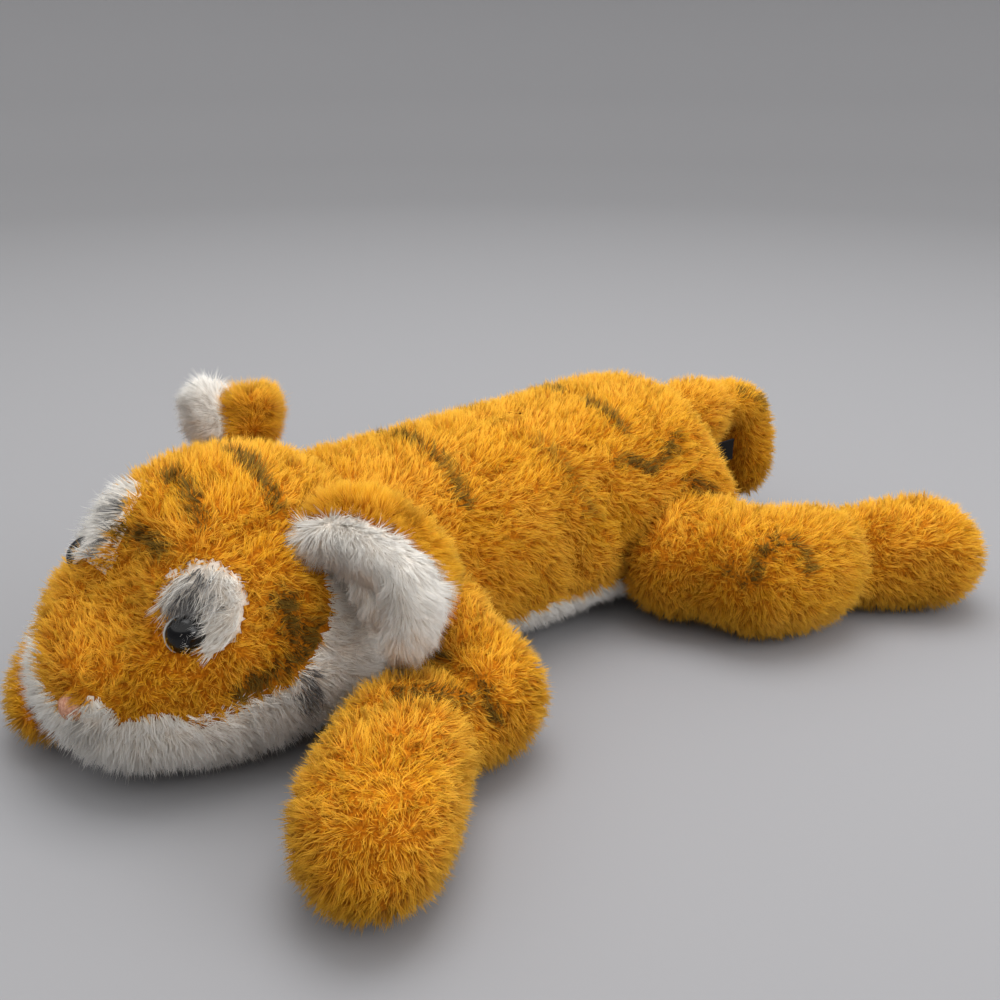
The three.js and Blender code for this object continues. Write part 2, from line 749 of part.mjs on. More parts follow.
// The blank label tab, sewn upright into the back panel beside the tail.
const tabBox = box(
  new THREE.Vector3(rumpEnd - tabDepth, tabY - tabThickness / 2, tabZ - tabWidth / 2),
  new THREE.Vector3(rumpEnd + tabReach, tabY + tabThickness / 2, tabZ + tabWidth / 2),
);
addPiece('label_tab', tabBox.subtract(bodyBulk(-fabric)), colours.tab, 0.8);

// Limb pieces: skins with an opening at the root, and filling inside them.
function addLimb(name, endName, limb) {
  const { upper, end, root, joint, bendAxis, ballSize, rootHole, bendRange, trim } = limb;
  const rootAhead = joint.clone().sub(root).normalize();
  const opening = rod(root.clone().addScaledVector(rootAhead, -farReach), root, rootHole, 10);
  const bendBack = bendRange.map((degrees) => -degrees);
  const socket = hollowBall(joint, ballSize + gap);
  const bender = upper(bendRoom, false);
  const roomy = (solid) => clearedOf(solid.subtract(socket), bender, joint, bendAxis, bendBack, 2);
  const fit = (solid) => trim(roomy(solid).subtract(belowFloor), true);
  addPiece(name, trim(upper(0).subtract(upper(-fabric)).subtract(opening), false), colours.orange);
  addPiece(`${name}_stuffing`, trim(upper(-fabric - gap - gap), false), colours.filling);
  addPiece(endName, fit(end(0).subtract(end(-fabric))), colours.orange);
  return fit(end(-fabric - gap));
}

for (const [name, leg] of Object.entries(legs)) {
  const endName = `${name}_${leg.front ? 'paw' : 'foot'}`;
  const nearHead = leg.front && leg.side > 0;
  const trim = (solid, ofPaw) => (nearHead ? solid.subtract(headRoom(leg, ofPaw)) : solid);
  const inside = addLimb(`${name}_leg`, endName, {
    upper: (margin, hasEndBall) => upperLegBulk(leg, margin, hasEndBall),
    end: (margin) => endBulk(leg, margin),
    root: leg.points[0],
    joint: leg.points[2],
    bendAxis: leg.bendAxis,
    ballSize: jointBall,
    rootHole: legBall / 2,
    bendRange: leg.bend,
    trim,
  });
  const start = leg.points[2];
  const ahead = leg.points[3].clone().sub(start).setZ(0).normalize();
  const split = leg.points[3].clone().sub(start).length() * pelletShare;
  const from = start.clone().addScaledVector(ahead, split);
  const toes = rod(from, from.clone().addScaledVector(ahead, farReach), farReach, 8);
  const fromGap = from.clone().addScaledVector(ahead, -gap);
  const toesAndGap = rod(fromGap, from.clone().addScaledVector(ahead, farReach), farReach, 8);
  addPiece(`${endName}_stuffing`, inside.subtract(toesAndGap), colours.filling);
  addPiece(`${endName}_pellets`, inside.intersect(toes), colours.pellets);
}

const tailInside = addLimb('tail_base', 'tail_end', {
  upper: tailBaseBulk,
  end: tailEndBulk,
  root: tailStart,
  joint: tailFold,
  bendAxis: tailBendAxis,
  ballSize: tailJointBall,
  rootHole: tailBall / 2,
  bendRange: tailBendRange,
  trim: (solid) => solid,
});
addPiece('tail_end_stuffing', tailInside, colours.filling);

// Head pieces. The white lower part is cut out of the head's skin by its outline seen from the side,
// and by the outline of the muzzle seen from the front.
function whiteRegion(margin) {
  const outline = new THREE.Shape();
  const points = whiteBorderShares.map(([x, z]) => new THREE.Vector2(
    headCentreX + x * headRadius - margin, z * headRadius + margin));
  const backX = headCentreX + headRadius + overrun;
  const frontX = points[0].x - muzzleReach;
  outline.moveTo(frontX, -overrun);
  outline.lineTo(frontX, points[0].y);
  outline.splineThru(points);
  outline.lineTo(backX, points[points.length - 1].y);
  outline.lineTo(backX, -overrun);
  const wide = headRadius + overrun;
  const settings = { depth: 2 * wide, bevelEnabled: false, curveSegments: 2 };
  const side = new THREE.ExtrudeGeometry(outline, settings).rotateX(Math.PI / 2);
  side.translate(0, wide, 0);
  const muzzle = new THREE.Shape();
  const low = whiteBorderShares[0][1] * headRadius + margin;
  const peakHalf = (muzzleWhiteHalfWidth + bridgeTipHalfWidth) / 2;
  const corners = [
    [muzzleWhiteHalfWidth + margin, low], [peakHalf + margin, muzzleWhiteHeight + margin],
    [peakHalf - gap, muzzleWhiteHeight + margin], [bridgeTipHalfWidth - margin, bridgeTipHeight + margin],
  ];
  muzzle.moveTo(muzzleWhiteHalfWidth + margin, -overrun);
  corners.forEach(([y, z]) => muzzle.lineTo(y, z));
  corners.reverse().forEach(([y, z]) => muzzle.lineTo(-y, z));
  muzzle.lineTo(-muzzleWhiteHalfWidth - margin, -overrun);
  const reach = { depth: muzzleWhiteReach + overrun, bevelEnabled: false };
  const front = new THREE.ExtrudeGeometry(muzzle, reach).rotateX(Math.PI / 2).rotateZ(-Math.PI / 2);
  front.translate(headCentreX - muzzleReach - overrun, 0, 0);
  return solidOf(side).add(solidOf(front));
}

// Where a direction from the centre of the head meets its outer face.
const headSkinMesh = new THREE.Mesh(geometryOf(headBulk(0)));
headSkinMesh.material.side = THREE.DoubleSide;
function seatOf(x, y, z) {
  const ahead = new THREE.Vector3(x, y, z - headCentre.z).normalize();
  const far = headCentre.clone().addScaledVector(ahead, farReach);
  const ray = new THREE.Raycaster(far, ahead.clone().negate());
  const hit = ray.intersectObject(headSkinMesh)[0];
  return { point: hit.point, ahead, outward: hit.face.normal };
}

const headSkin = headBulk(0).subtract(headBulk(-fabric));
let crown = headSkin.subtract(whiteRegion(gap));
let cheeks = headSkin.intersect(whiteRegion(0));
let headFilling = headBulk(-fabric - gap);
const headDetails = [];

for (const [sideName, side] of [['left', -1], ['right', 1]]) {
  const patchSeat = seatOf(patchX, side * patchY, patchZ);
  const patchEnd = patchSeat.point.clone().addScaledVector(patchSeat.ahead, overrun);
  let patch = headSkin.intersect(rod(headCentre, patchEnd, patchDiameter / 2, 16));
  crown = crown.subtract(rod(headCentre, patchEnd, patchDiameter / 2 + gap, 16));

  // The eye: a dome on a ribbed stem, held by a lock washer behind the fabric.
  const eyeSeat = seatOf(eyeX, side * eyeY, eyeZ);
  const { outward } = eyeSeat;
  const seat = eyeSeat.point.clone().addScaledVector(outward, -eyeSink);
  const at = (distance) => seat.clone().addScaledVector(outward, distance);
  const profile = [new THREE.Vector2(0, -eyeStemLength)];
  profile.push(new THREE.Vector2(eyeStemDiameter / 2, -eyeStemLength));
  const ribPitch = (eyeStemLength - fabric) / eyeRibCount;
  for (let i = 0; i < eyeRibCount; i += 1) {
    const low = -eyeStemLength + i * ribPitch;
    profile.push(new THREE.Vector2(eyeRibDiameter / 2, low + ribPitch / 2));
    profile.push(new THREE.Vector2(eyeStemDiameter / 2, low + ribPitch));
  }
  profile.push(new THREE.Vector2(eyeStemDiameter / 2, 0));
  for (let i = 0; i <= 4; i += 1) {
    const angle = (i / 4) * (Math.PI / 2);
    profile.push(new THREE.Vector2((eyeDiameter / 2) * Math.cos(angle), eyeDomeHeight * Math.sin(angle)));
  }
  profile[profile.length - 1].x = 0;
  const eyeGeometry = new THREE.LatheGeometry(profile, 10);
  const turn = new THREE.Quaternion().setFromUnitVectors(new THREE.Vector3(0, 1, 0), outward);
  eyeGeometry.applyQuaternion(turn).translate(seat.x, seat.y, seat.z);
  const socket = rod(at(-gap), at(overrun), eyeDiameter / 2 + gap, 12)
    .add(rod(at(-eyeStemLength - gap), at(0), eyeRibDiameter / 2 + gap, 10));
  const washerTop = -fabric - washerSink;
  const washer = rod(at(washerTop - washerThickness), at(washerTop), washerDiameter / 2, 14)
    .subtract(rod(at(washerTop - overrun), at(0), eyeRibDiameter / 2 + gap, 10));
  const washerRoom = rod(at(washerTop - washerThickness - gap), at(overrun), washerDiameter / 2 + gap, 12);
  patch = patch.subtract(socket);
  crown = crown.subtract(socket);
  cheeks = cheeks.subtract(socket);
  headFilling = headFilling.subtract(socket).subtract(washerRoom);
  headDetails.push([`${sideName}_eye_patch`, patch, colours.white, 0.95]);
  headDetails.push([`${sideName}_eye`, solidOf(eyeGeometry), colours.black, 0.1]);
  headDetails.push([`${sideName}_eye_washer`, washer, colours.washer, 0.5]);
}

const noseGeometry = new THREE.SphereGeometry(1, 12, 8);
noseGeometry.scale(noseDepth / 2, noseWidth / 2, noseHeight / 2);
noseGeometry.translate(headCentreX - muzzleReach + fabric, 0, noseZ);
headDetails.push(['nose', solidOf(noseGeometry).subtract(headBulk(gap)), colours.pink, 0.8]);
headDetails.push(['crown_panel', crown, colours.orange, 0.95]);
headDetails.push(['cheek_chin_panel', cheeks, colours.white, 0.95]);
headDetails.push(['head_stuffing', headFilling, colours.filling, 0.95]);
for (const [name, solid, colour, roughness] of headDetails) {
  addPiece(name, inHead(solid).subtract(belowFloor), colour, roughness);
}

// Ears: two cupped layers each, cut to a round outline, and cleared from the head as they fold and from
// the body as the head turns and nods.
const headBack = inHead(headBulk(gap));
const plainBody = bulkAlongX(
  bodyShares, bodyFront, bodyLength, bodyHalfWidth, bodyHeight, plainBodyForm, earClearance);
const bodyBehindNod = turned(plainBody, headCentre, sideVector, -headNodRange[1]);
const bodyBehindTurnedHead = turned(bodyBehindNod, headCentre, upVector, -headTurnRange[1]);
const earHinges = {};
for (const [sideName, pose] of Object.entries(earPoses)) {
  const side = sideName === 'left' ? -1 : 1;
  const flip = new THREE.Vector3(1, side, 1);
  const tip = new THREE.Vector3(...pose.tip).multiply(flip).normalize();
  const face = new THREE.Vector3(...pose.face).multiply(flip);
  const across = new THREE.Vector3().crossVectors(tip, face).normalize();
  face.crossVectors(across, tip);
  const [baseX, baseSide, baseZ] = pose.base;
  const base = new THREE.Vector3(headCentreX + baseX, side * baseSide, baseZ);
  const frame = new THREE.Matrix4().makeBasis(across, tip, face).setPosition(base);
  const outline = new THREE.Shape();
  const halfHeight = (earHeight + earSink) / 2;
  outline.absellipse(0, halfHeight - earSink, earWidth / 2, halfHeight, 0, 2 * Math.PI);
  const settings = { depth: 2 * earCupRadius, bevelEnabled: false, curveSegments: 10 };
  const prism = solidOf(new THREE.ExtrudeGeometry(outline, settings).translate(0, 0, -earCupRadius));
  const cup = new THREE.Vector3(0, halfHeight - earSink, earCupRadius - earLayer);
  const shell = (outer, inner) => moved(
    prism.intersect(ball(cup, outer).subtract(ball(cup, inner))), frame);
  const hinge = base.clone();
  earHinges[sideName] = { hinge, across };
  const foldBack = pose.fold.map((degrees) => -degrees);
  const fit = (solid) => {
    const free = clearedOf(solid, headBack, hinge, across, foldBack, 2);
    const turnedFree = clearedOf(free, plainBody, headCentre, upVector, [0, -headTurnRange[1]], 1);
    return turnedFree.subtract(bodyBehindTurnedHead);
  };
  const back = shell(earCupRadius, earCupRadius - earLayer);
  const front = shell(earCupRadius - earLayer - gap, earCupRadius - 2 * earLayer - gap);
  addPiece(`${sideName}_ear_back`, fit(back), colours.orange);
  addPiece(`${sideName}_ear_front`, fit(front), colours.white);
}

// Joint ranges in degrees.
const ranges = {
  head_turn: headTurnRange,
  head_nod: headNodRange,
  tail_swing: tailSwingRange,
  tail_bend: tailBendRange,
  left_ear_fold: earPoses.left.fold,
  right_ear_fold: earPoses.right.fold,
};
for (const [name, pose] of Object.entries(legPoses)) {
  ranges[`${name}_swing`] = pose.swing;
  ranges[`${name}_bend`] = pose.bend;
}
tiger.userData.ranges = ranges;

// The origin is on the floor, below the middle of the toy's box.
const extent = new THREE.Box3().setFromObject(tiger, true);
const middle = extent.getCenter(new THREE.Vector3());
for (const mesh of tiger.children) mesh.position.set(-middle.x, -middle.y, 0);

// Pivots and axes of the joints, kept with the model in its own frame.
const pivotOf = (point) => [point.x - middle.x, point.y - middle.y, point.z];
tiger.userData.joints = {
  head: { pivot: pivotOf(headCentre) },
  tail_swing: { pivot: pivotOf(tailStart), axis: upVector.toArray() },
  tail_bend: { pivot: pivotOf(tailFold), axis: tailBendAxis.toArray() },
};
for (const [name, leg] of Object.entries(legs)) {
  tiger.userData.joints[`${name}_swing`] = { pivot: pivotOf(leg.points[0]), axis: leg.swingAxis.toArray() };
  tiger.userData.joints[`${name}_bend`] = { pivot: pivotOf(leg.points[2]), axis: leg.bendAxis.toArray() };
}
for (const [name, ear] of Object.entries(earHinges)) {
  tiger.userData.joints[`${name}_ear_fold`] = { pivot: pivotOf(ear.hinge), axis: ear.across.toArray() };
}

export default tiger;
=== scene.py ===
# %% [markdown]
# # A plush tiger that lies on its belly
# A soft toy is cut from pile fabric, sewn into panels and filled. What the eye sees is the pile: thousands
# of short strands that stand up from the cloth, lean one way and gather in clumps. This lesson first makes
# the filled skins, then grows real strands of mesh on them, so that the fur has its own silhouette and
# shadows.
#
# The frame holds the toy's solids, its bodies and its joints. Every form starts from those solids or from
# their places. All pieces but those of the limbs ride on their bodies, so their fur moves as the toy does.

# %% Load the frame
import json
import math

import bmesh
import bpy
import numpy as np
from mathutils import Matrix, Vector
from mathutils.bvhtree import BVHTree


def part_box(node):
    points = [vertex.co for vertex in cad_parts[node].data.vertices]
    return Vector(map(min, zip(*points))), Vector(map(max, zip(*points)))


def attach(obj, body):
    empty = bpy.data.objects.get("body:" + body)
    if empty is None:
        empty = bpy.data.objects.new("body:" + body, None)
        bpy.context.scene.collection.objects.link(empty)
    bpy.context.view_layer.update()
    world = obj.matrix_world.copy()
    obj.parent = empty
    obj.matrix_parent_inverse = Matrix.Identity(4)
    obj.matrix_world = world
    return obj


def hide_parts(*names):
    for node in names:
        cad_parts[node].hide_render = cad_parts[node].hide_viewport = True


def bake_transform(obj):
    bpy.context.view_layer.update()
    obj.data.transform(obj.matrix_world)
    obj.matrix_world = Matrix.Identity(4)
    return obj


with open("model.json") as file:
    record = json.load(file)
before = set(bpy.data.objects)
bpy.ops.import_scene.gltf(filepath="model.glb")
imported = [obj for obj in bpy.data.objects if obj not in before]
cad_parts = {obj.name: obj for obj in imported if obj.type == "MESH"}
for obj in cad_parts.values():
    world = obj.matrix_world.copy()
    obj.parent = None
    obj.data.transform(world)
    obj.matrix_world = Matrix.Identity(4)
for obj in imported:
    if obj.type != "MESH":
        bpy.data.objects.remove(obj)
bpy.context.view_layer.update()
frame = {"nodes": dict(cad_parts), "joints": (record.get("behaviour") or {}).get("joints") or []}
joint_place = {joint["name"]: Vector(joint["pos_m"]) for joint in frame["joints"]}
MIDDLE_Y = joint_place["head_turn"].y
MILLIMETRES_PER_METRE = 1000
rng = np.random.default_rng(11)


def linked(name, data):
    """An object of the scene that holds a mesh, a lamp or a camera."""
    thing = bpy.data.objects.new(name, data)
    bpy.context.scene.collection.objects.link(thing)
    return thing


def other_side(place):
    """The same place on the other side of the toy."""
    return Vector((place.x, 2 * MIDDLE_Y - place.y, place.z))


def corners_of(node):
    """The corners of a solid of the frame, one in each row."""
    return np.array([vert.co[:] for vert in frame["nodes"][node].data.vertices])


# %% [markdown]
# ## The camera
# The photograph looks down on the toy from its left front. The camera's height, its place over the floor
# and its tilt are real sizes. Stripes, seams and lobes are given by their pixels in the photograph, and
# this camera says through which line of sight each pixel is seen.

# %% Place the camera
CAMERA_PLACE = Vector((-0.2945, -0.3874, 0.270))
CAMERA_HEADING = Vector((0.616, 0.788, 0))
CAMERA_PITCH = math.radians(23)
PHOTO_SIZE = 1000
PHOTO_MIDDLE = PHOTO_SIZE / 2
FOCAL_PIXELS = 1072
SENSOR = 36.0
NEAREST_SEEN = 0.01

camera_data = bpy.data.cameras.new("camera")
camera_data.sensor_width = SENSOR
camera_data.lens = SENSOR * FOCAL_PIXELS / PHOTO_SIZE
camera_data.clip_start = NEAREST_SEEN
camera = linked("camera", camera_data)
gaze = CAMERA_HEADING.normalized() * math.cos(CAMERA_PITCH) - Vector((0, 0, math.sin(CAMERA_PITCH)))
camera_turn = gaze.to_track_quat("-Z", "Y")
camera.matrix_world = Matrix.Translation(CAMERA_PLACE) @ camera_turn.to_matrix().to_4x4()
bpy.context.scene.camera = camera


def sight_line(pixel):
    """The direction from the camera through a pixel of the photograph."""
    local = Vector((pixel[0] - PHOTO_MIDDLE, PHOTO_MIDDLE - pixel[1], -FOCAL_PIXELS))
    return (camera_turn @ local).normalized()


def pixels_of(places):
    """Where places appear in the photograph."""
    local = (places - np.array(CAMERA_PLACE[:])) @ np.array(camera_turn.to_matrix())
    across = PHOTO_MIDDLE - FOCAL_PIXELS * local[:, 0] / local[:, 2]
    down = PHOTO_MIDDLE + FOCAL_PIXELS * local[:, 1] / local[:, 2]
    return np.column_stack((across, down))


print("camera at", [round(value, 4) for value in CAMERA_PLACE], "lens", round(camera_data.lens, 1))

# %% [markdown]
# ## Filled forms
# A filled panel has no sharp edge. Each form starts from the solids of the frame: a hull closes the trunk
# and the head, and a limb's shell and its filling are joined by a voxel remesh, which keeps only the outer
# skin. Subdivision would round the solids too, but it would keep the seams between them.

# %% Helpers that make a closed form
VOXEL = 0.003
MERGE_DISTANCE = 1e-6
TINY = 1e-12
BALL_DIVISIONS = 3


def copy_of(*nodes):
    """A bmesh with merged copies of solids of the frame."""
    bm = bmesh.new()
    for node in nodes:
        bm.from_mesh(frame["nodes"][node].data)
    bmesh.ops.remove_doubles(bm, verts=bm.verts, dist=MERGE_DISTANCE)
    return bm


def hull_of(*nodes):
    """One closed convex form round solids of the frame."""
    bm = copy_of(*nodes)
    bmesh.ops.delete(bm, geom=bm.edges[:] + bm.faces[:], context="EDGES_FACES")
    hull = bmesh.ops.convex_hull(bm, input=bm.verts)
    unused = [item for item in hull["geom_interior"] if isinstance(item, bmesh.types.BMVert)]
    bmesh.ops.delete(bm, geom=unused, context="VERTS")
    return bm


def islands(bm):
    """The connected groups of vertices of a bmesh."""
    left = set(bm.verts)
    groups = []
    while left:
        queue = [left.pop()]
        group = set(queue)
        while queue:
            for edge in queue.pop().link_edges:
                for vert in edge.verts:
                    if vert in left:
                        left.discard(vert)
                        group.add(vert)
                        queue.append(vert)
        groups.append(group)
    return groups


def add_ball(bm, place, radius):
    """A ball of filling that joins what it touches when the form is remeshed."""
    there = Matrix.Translation(place)
    bmesh.ops.create_icosphere(bm, subdivisions=BALL_DIVISIONS, radius=radius, matrix=there)


def remeshed(bm, voxel=VOXEL):
    """The outer skin of all that a bmesh holds, as an even mesh of small quads."""
    mesh = bpy.data.meshes.new("work")
    bm.to_mesh(mesh)
    bm.free()
    work = linked("work", mesh)
    modifier = work.modifiers.new("remesh", "REMESH")
    modifier.mode = "VOXEL"
    modifier.voxel_size = voxel
    skin = bmesh.new()
    skin.from_mesh(work.evaluated_get(bpy.context.evaluated_depsgraph_get()).to_mesh())
    bpy.data.objects.remove(work)
    groups = sorted(islands(skin), key=len)
    inner = [vert for group in groups[:-1] for vert in group]
    bmesh.ops.delete(skin, geom=inner, context="VERTS")
    return skin


# %% [markdown]
# The skin is smoothed and set back by half of the pile, because the frame's faces stand for the middle of
# the pile. Filling swells it in some places and stitches draw it in at others. A push moves a round region
# and fades out at its rim, and a crease sinks a line into the cloth.

# %% Helpers that shape a form
PILE_SET_BACK = 0.0034
SOFTENING = {"trunk": 6, "head": 8, "limb": 10, "tail": 8, "ear": 6}
FLOOR_CLOTH = 0.0008
CREASE_FADE = 2.5


def soften(bm, times):
    """Smooths the form a number of times."""
    for _ in range(times):
        bmesh.ops.smooth_vert(
            bm, verts=bm.verts, factor=0.5, use_axis_x=True, use_axis_y=True, use_axis_z=True)
    bm.normal_update()


def swell(bm, distance):
    """Moves every vertex out along its normal, or in for a negative distance."""
    bm.normal_update()
    for vert in bm.verts:
        vert.co += vert.normal * distance
    bm.normal_update()


def push(bm, centre, reach, move):
    """Pulls the form by a vector round a place, fading to nothing at its reach."""
    for vert in bm.verts:
        share = (vert.co - centre).length / reach
        if share < 1:
            vert.co += move * (1 - share * share) ** 2


def distance_to_path(place, path):
    """How far a point is from a line through points."""
    best = math.inf
    for start, end in zip(path, path[1:]):
        along = end - start
        share = min(max((place - start).dot(along) / along.length_squared, 0), 1)
        best = min(best, (place - start - along * share).length)
    return best


def on_floor(bm):
    """Rests the form on the floor."""
    for vert in bm.verts:
        vert.co.z = max(vert.co.z, FLOOR_CLOTH)
    bm.normal_update()


def tree_of(bm):
    """A search tree of a form's faces, for rays and nearest places."""
    return BVHTree.FromBMesh(bm)


def seen_at(pixel, tree):
    """Where the line of sight through a pixel of the photograph meets a form."""
    return tree.ray_cast(CAMERA_PLACE, sight_line(pixel))[0]


def line_on(pixels, tree):
    """A line of pixels laid on a form."""
    found = [seen_at(pixel, tree) for pixel in pixels]
    return [place for place in found if place is not None]


def crease(bm, pixels, width, depth):
    """A seam or fold that draws the form in along a line of pixels."""
    path = line_on(pixels, tree_of(bm))
    bm.normal_update()
    for vert in bm.verts:
        away = distance_to_path(vert.co, path) / width
        if away < CREASE_FADE:
            vert.co -= vert.normal * depth * math.exp(-away * away)
    bm.normal_update()


# %% [markdown]
# ## The trunk
# Body and belly are one long bag that rests on the floor. It is widest at the hips and drawn in at the
# neck, where the ball of the head sits in its collar. It could be sculpted, but a hull that a few pushes
# swell keeps to the solids of the frame. The filling swells the rump behind both thighs, and two folds run
# down the flank in front of the thigh.

# %% Make the trunk
TRUNK_NODES = ("back_panel", "belly_panel")
TRUNK_VOXEL = 0.0035
RUMP_PIXEL = (706, 520)
RUMP_REACH = 0.045
RUMP_SWELL = {"left": Vector((0.011, -0.004, 0)), "right": Vector((0.011, 0.004, 0))}
UNDER_RUMP = Vector((0.012, 0, 0.018))
UNDER_RUMP_REACH = 0.035
UNDER_RUMP_SWELL = Vector((0.004, -0.007, 0))
FLANK_FOLDS = ([(596, 478), (614, 520), (625, 565)], [(560, 520), (572, 556), (570, 590)])
FLANK_FOLD_WIDTH = 0.007
FLANK_FOLD_DEPTH = 0.0028

trunk = remeshed(hull_of(*TRUNK_NODES), TRUNK_VOXEL)
soften(trunk, SOFTENING["trunk"])
swell(trunk, -PILE_SET_BACK)
rump = seen_at(RUMP_PIXEL, tree_of(trunk))
push(trunk, rump, RUMP_REACH, RUMP_SWELL["left"])
push(trunk, other_side(rump), RUMP_REACH, RUMP_SWELL["right"])
push(trunk, rump - UNDER_RUMP, UNDER_RUMP_REACH, UNDER_RUMP_SWELL)
for fold in FLANK_FOLDS:
    crease(trunk, fold, FLANK_FOLD_WIDTH, FLANK_FOLD_DEPTH)
on_floor(trunk)
print("trunk:", len(trunk.faces), "faces")

# %% [markdown]
# ## The head
# The head is a round cushion that runs out into a broad muzzle, and it starts from a hull too. Each eye
# sits in a shallow hollow, because its stem pulls the cloth in. The hollow is found from the eye's own
# solid, and not from a typed place: the longest direction of its corners is the axis of the stem.

# %% Make the head and the hollows of its eyes
HEAD_NODES = ("crown_panel", "cheek_chin_panel")
HEAD_VOXEL = 0.0025
EYE_DOME = 0.0058
EYE_SINK = 0.0068
EYE_HOLLOW_REACH = 0.022
EYE_HOLLOW_DEPTH = 0.0042

head_centre = joint_place["head_turn"]
head = remeshed(hull_of(*HEAD_NODES), HEAD_VOXEL)
soften(head, SOFTENING["head"])
swell(head, -PILE_SET_BACK)
eye_seat, eye_axis = {}, {}
for side in ("left", "right"):
    cloud = corners_of(f"{side}_eye")
    middle = cloud.mean(axis=0)
    axis = Vector(np.linalg.svd(cloud - middle)[2][0])
    if axis.dot(Vector(middle) - head_centre) < 0:
        axis = -axis
    reach = float(((cloud - middle) @ np.array(axis[:])).max())
    eye_axis[side] = axis
    eye_seat[side] = Vector(middle) + axis * (reach - EYE_DOME - EYE_SINK)
    push(head, Vector(middle) + axis * (reach - EYE_DOME), EYE_HOLLOW_REACH, axis * -EYE_HOLLOW_DEPTH)
face_across = (eye_seat["left"] - eye_seat["right"]).normalized()
face_middle = (eye_seat["left"] + eye_seat["right"]) / 2
face_ahead = (eye_axis["left"] + eye_axis["right"]).normalized()
print("head:", len(head.faces), "faces, it looks along", [round(value, 2) for value in face_ahead])

# %% [markdown]
# Between the brows the bridge of the nose dips in. Filling gathers low in the cheeks and at the jowls, and
# the bridge narrows at its end. Only the left cheek shows, so each of these is found by its pixel there and
# is repeated beyond the middle of the face. A seam runs from the eye to the ear.

# %% Shape the face
BEFORE_FACE = 0.2
BRIDGE_REACH = 0.034
BRIDGE_DIP = 0.0075
BRIDGE_END_DIP = face_ahead * -0.005
FACE_PUSHES = {
    "low_cheek": ((352, 640), 0.04, Vector((0.0085, -0.0075, -0.002)), Vector((0.0085, 0.0075, -0.002))),
    "jowl": ((322, 684), 0.038, Vector((0.009, -0.009, -0.005)), Vector((0.009, 0.009, -0.005))),
    "bridge_end": ((68, 602), 0.025, BRIDGE_END_DIP, BRIDGE_END_DIP),
}
BROW_SEAM = [(236, 552), (258, 532), (280, 522), (302, 536)]
BROW_SEAM_WIDTH = 0.005
BROW_SEAM_DEPTH = 0.0028

bridge = tree_of(head).ray_cast(face_middle + face_ahead * BEFORE_FACE, -face_ahead)[0]
push(head, bridge, BRIDGE_REACH, face_ahead * -BRIDGE_DIP)
for pixel, reach, left_move, right_move in FACE_PUSHES.values():
    place = seen_at(pixel, tree_of(head))
    push(head, place, reach, left_move)
    push(head, place - face_across * 2 * (place - face_middle).dot(face_across), reach, right_move)
crease(head, BROW_SEAM, BROW_SEAM_WIDTH, BROW_SEAM_DEPTH)
on_floor(head)
print("the bridge dips at", [round(value, 3) for value in bridge])

# %% [markdown]
# ## Limbs
# Each limb is a bent bag: a ball of filling at its root, a full thigh or shoulder, a fold, and a heavy paw
# or foot beyond it. The real one is drawn in at the fold by a seam or a few stitches. Here one skin
# covers both. Balls fill the fold and the hips, where the solids are lean.

# %% Make the limbs
LIMB_ENDS = {
    "left_front": "paw",
    "right_front": "paw",
    "left_hind": "foot",
    "right_hind": "foot",
}
FOLD_BALL = 0.0275
HIP_BALLS = ((Vector((0.094, -0.067, 0.031)), 0.0315), (Vector((0.073, -0.061, 0.032)), 0.03))
LIMB_FOLDS = {
    "left_front": (
        [(362, 712), (395, 697), (430, 697), (468, 722)],
        [(404, 673), (440, 670), (478, 690), (492, 722)]),
    "left_hind": ([(850, 508), (864, 535), (868, 570), (860, 604)],),
}
LIMB_FOLD_WIDTH = 0.0045
LIMB_FOLD_DEPTH = {"left_front": 0.003, "left_hind": 0.0035}
PAW_PIXEL = (365, 880)
PAW_REACH = 0.045
PAW_SWELL = Vector((-0.003, -0.006, 0))
FAR_PAW = Vector((-0.205, 0.022, 0.014))
FAR_PAW_REACH = 0.05
FAR_PAW_SWELL = Vector((-0.011, -0.013, 0.002))

limbs = {}
for limb, end in LIMB_ENDS.items():
    upper = f"{limb}_leg"
    lower = f"{limb}_{end}"
    nodes = (upper, f"{upper}_stuffing", lower, f"{lower}_stuffing", f"{lower}_pellets")
    solid = copy_of(*nodes)
    if limb != "right_front":
        add_ball(solid, joint_place[f"{limb}_bend"], FOLD_BALL)
    if limb.endswith("hind"):
        for place, radius in HIP_BALLS:
            add_ball(solid, place if limb.startswith("left") else other_side(place), radius)
    form = remeshed(solid)
    soften(form, SOFTENING["limb"])
    swell(form, -PILE_SET_BACK)
    for fold in LIMB_FOLDS.get(limb, ()):
        crease(form, fold, LIMB_FOLD_WIDTH, LIMB_FOLD_DEPTH[limb])
    if limb == "left_front":
        push(form, seen_at(PAW_PIXEL, tree_of(form)), PAW_REACH, PAW_SWELL)
    if limb == "right_front":
        push(form, FAR_PAW, FAR_PAW_REACH, FAR_PAW_SWELL)
    on_floor(form)
    limbs[limb] = {"form": form, "nodes": nodes, "bodies": (upper, lower)}
    print(limb, len(form.faces), "faces")
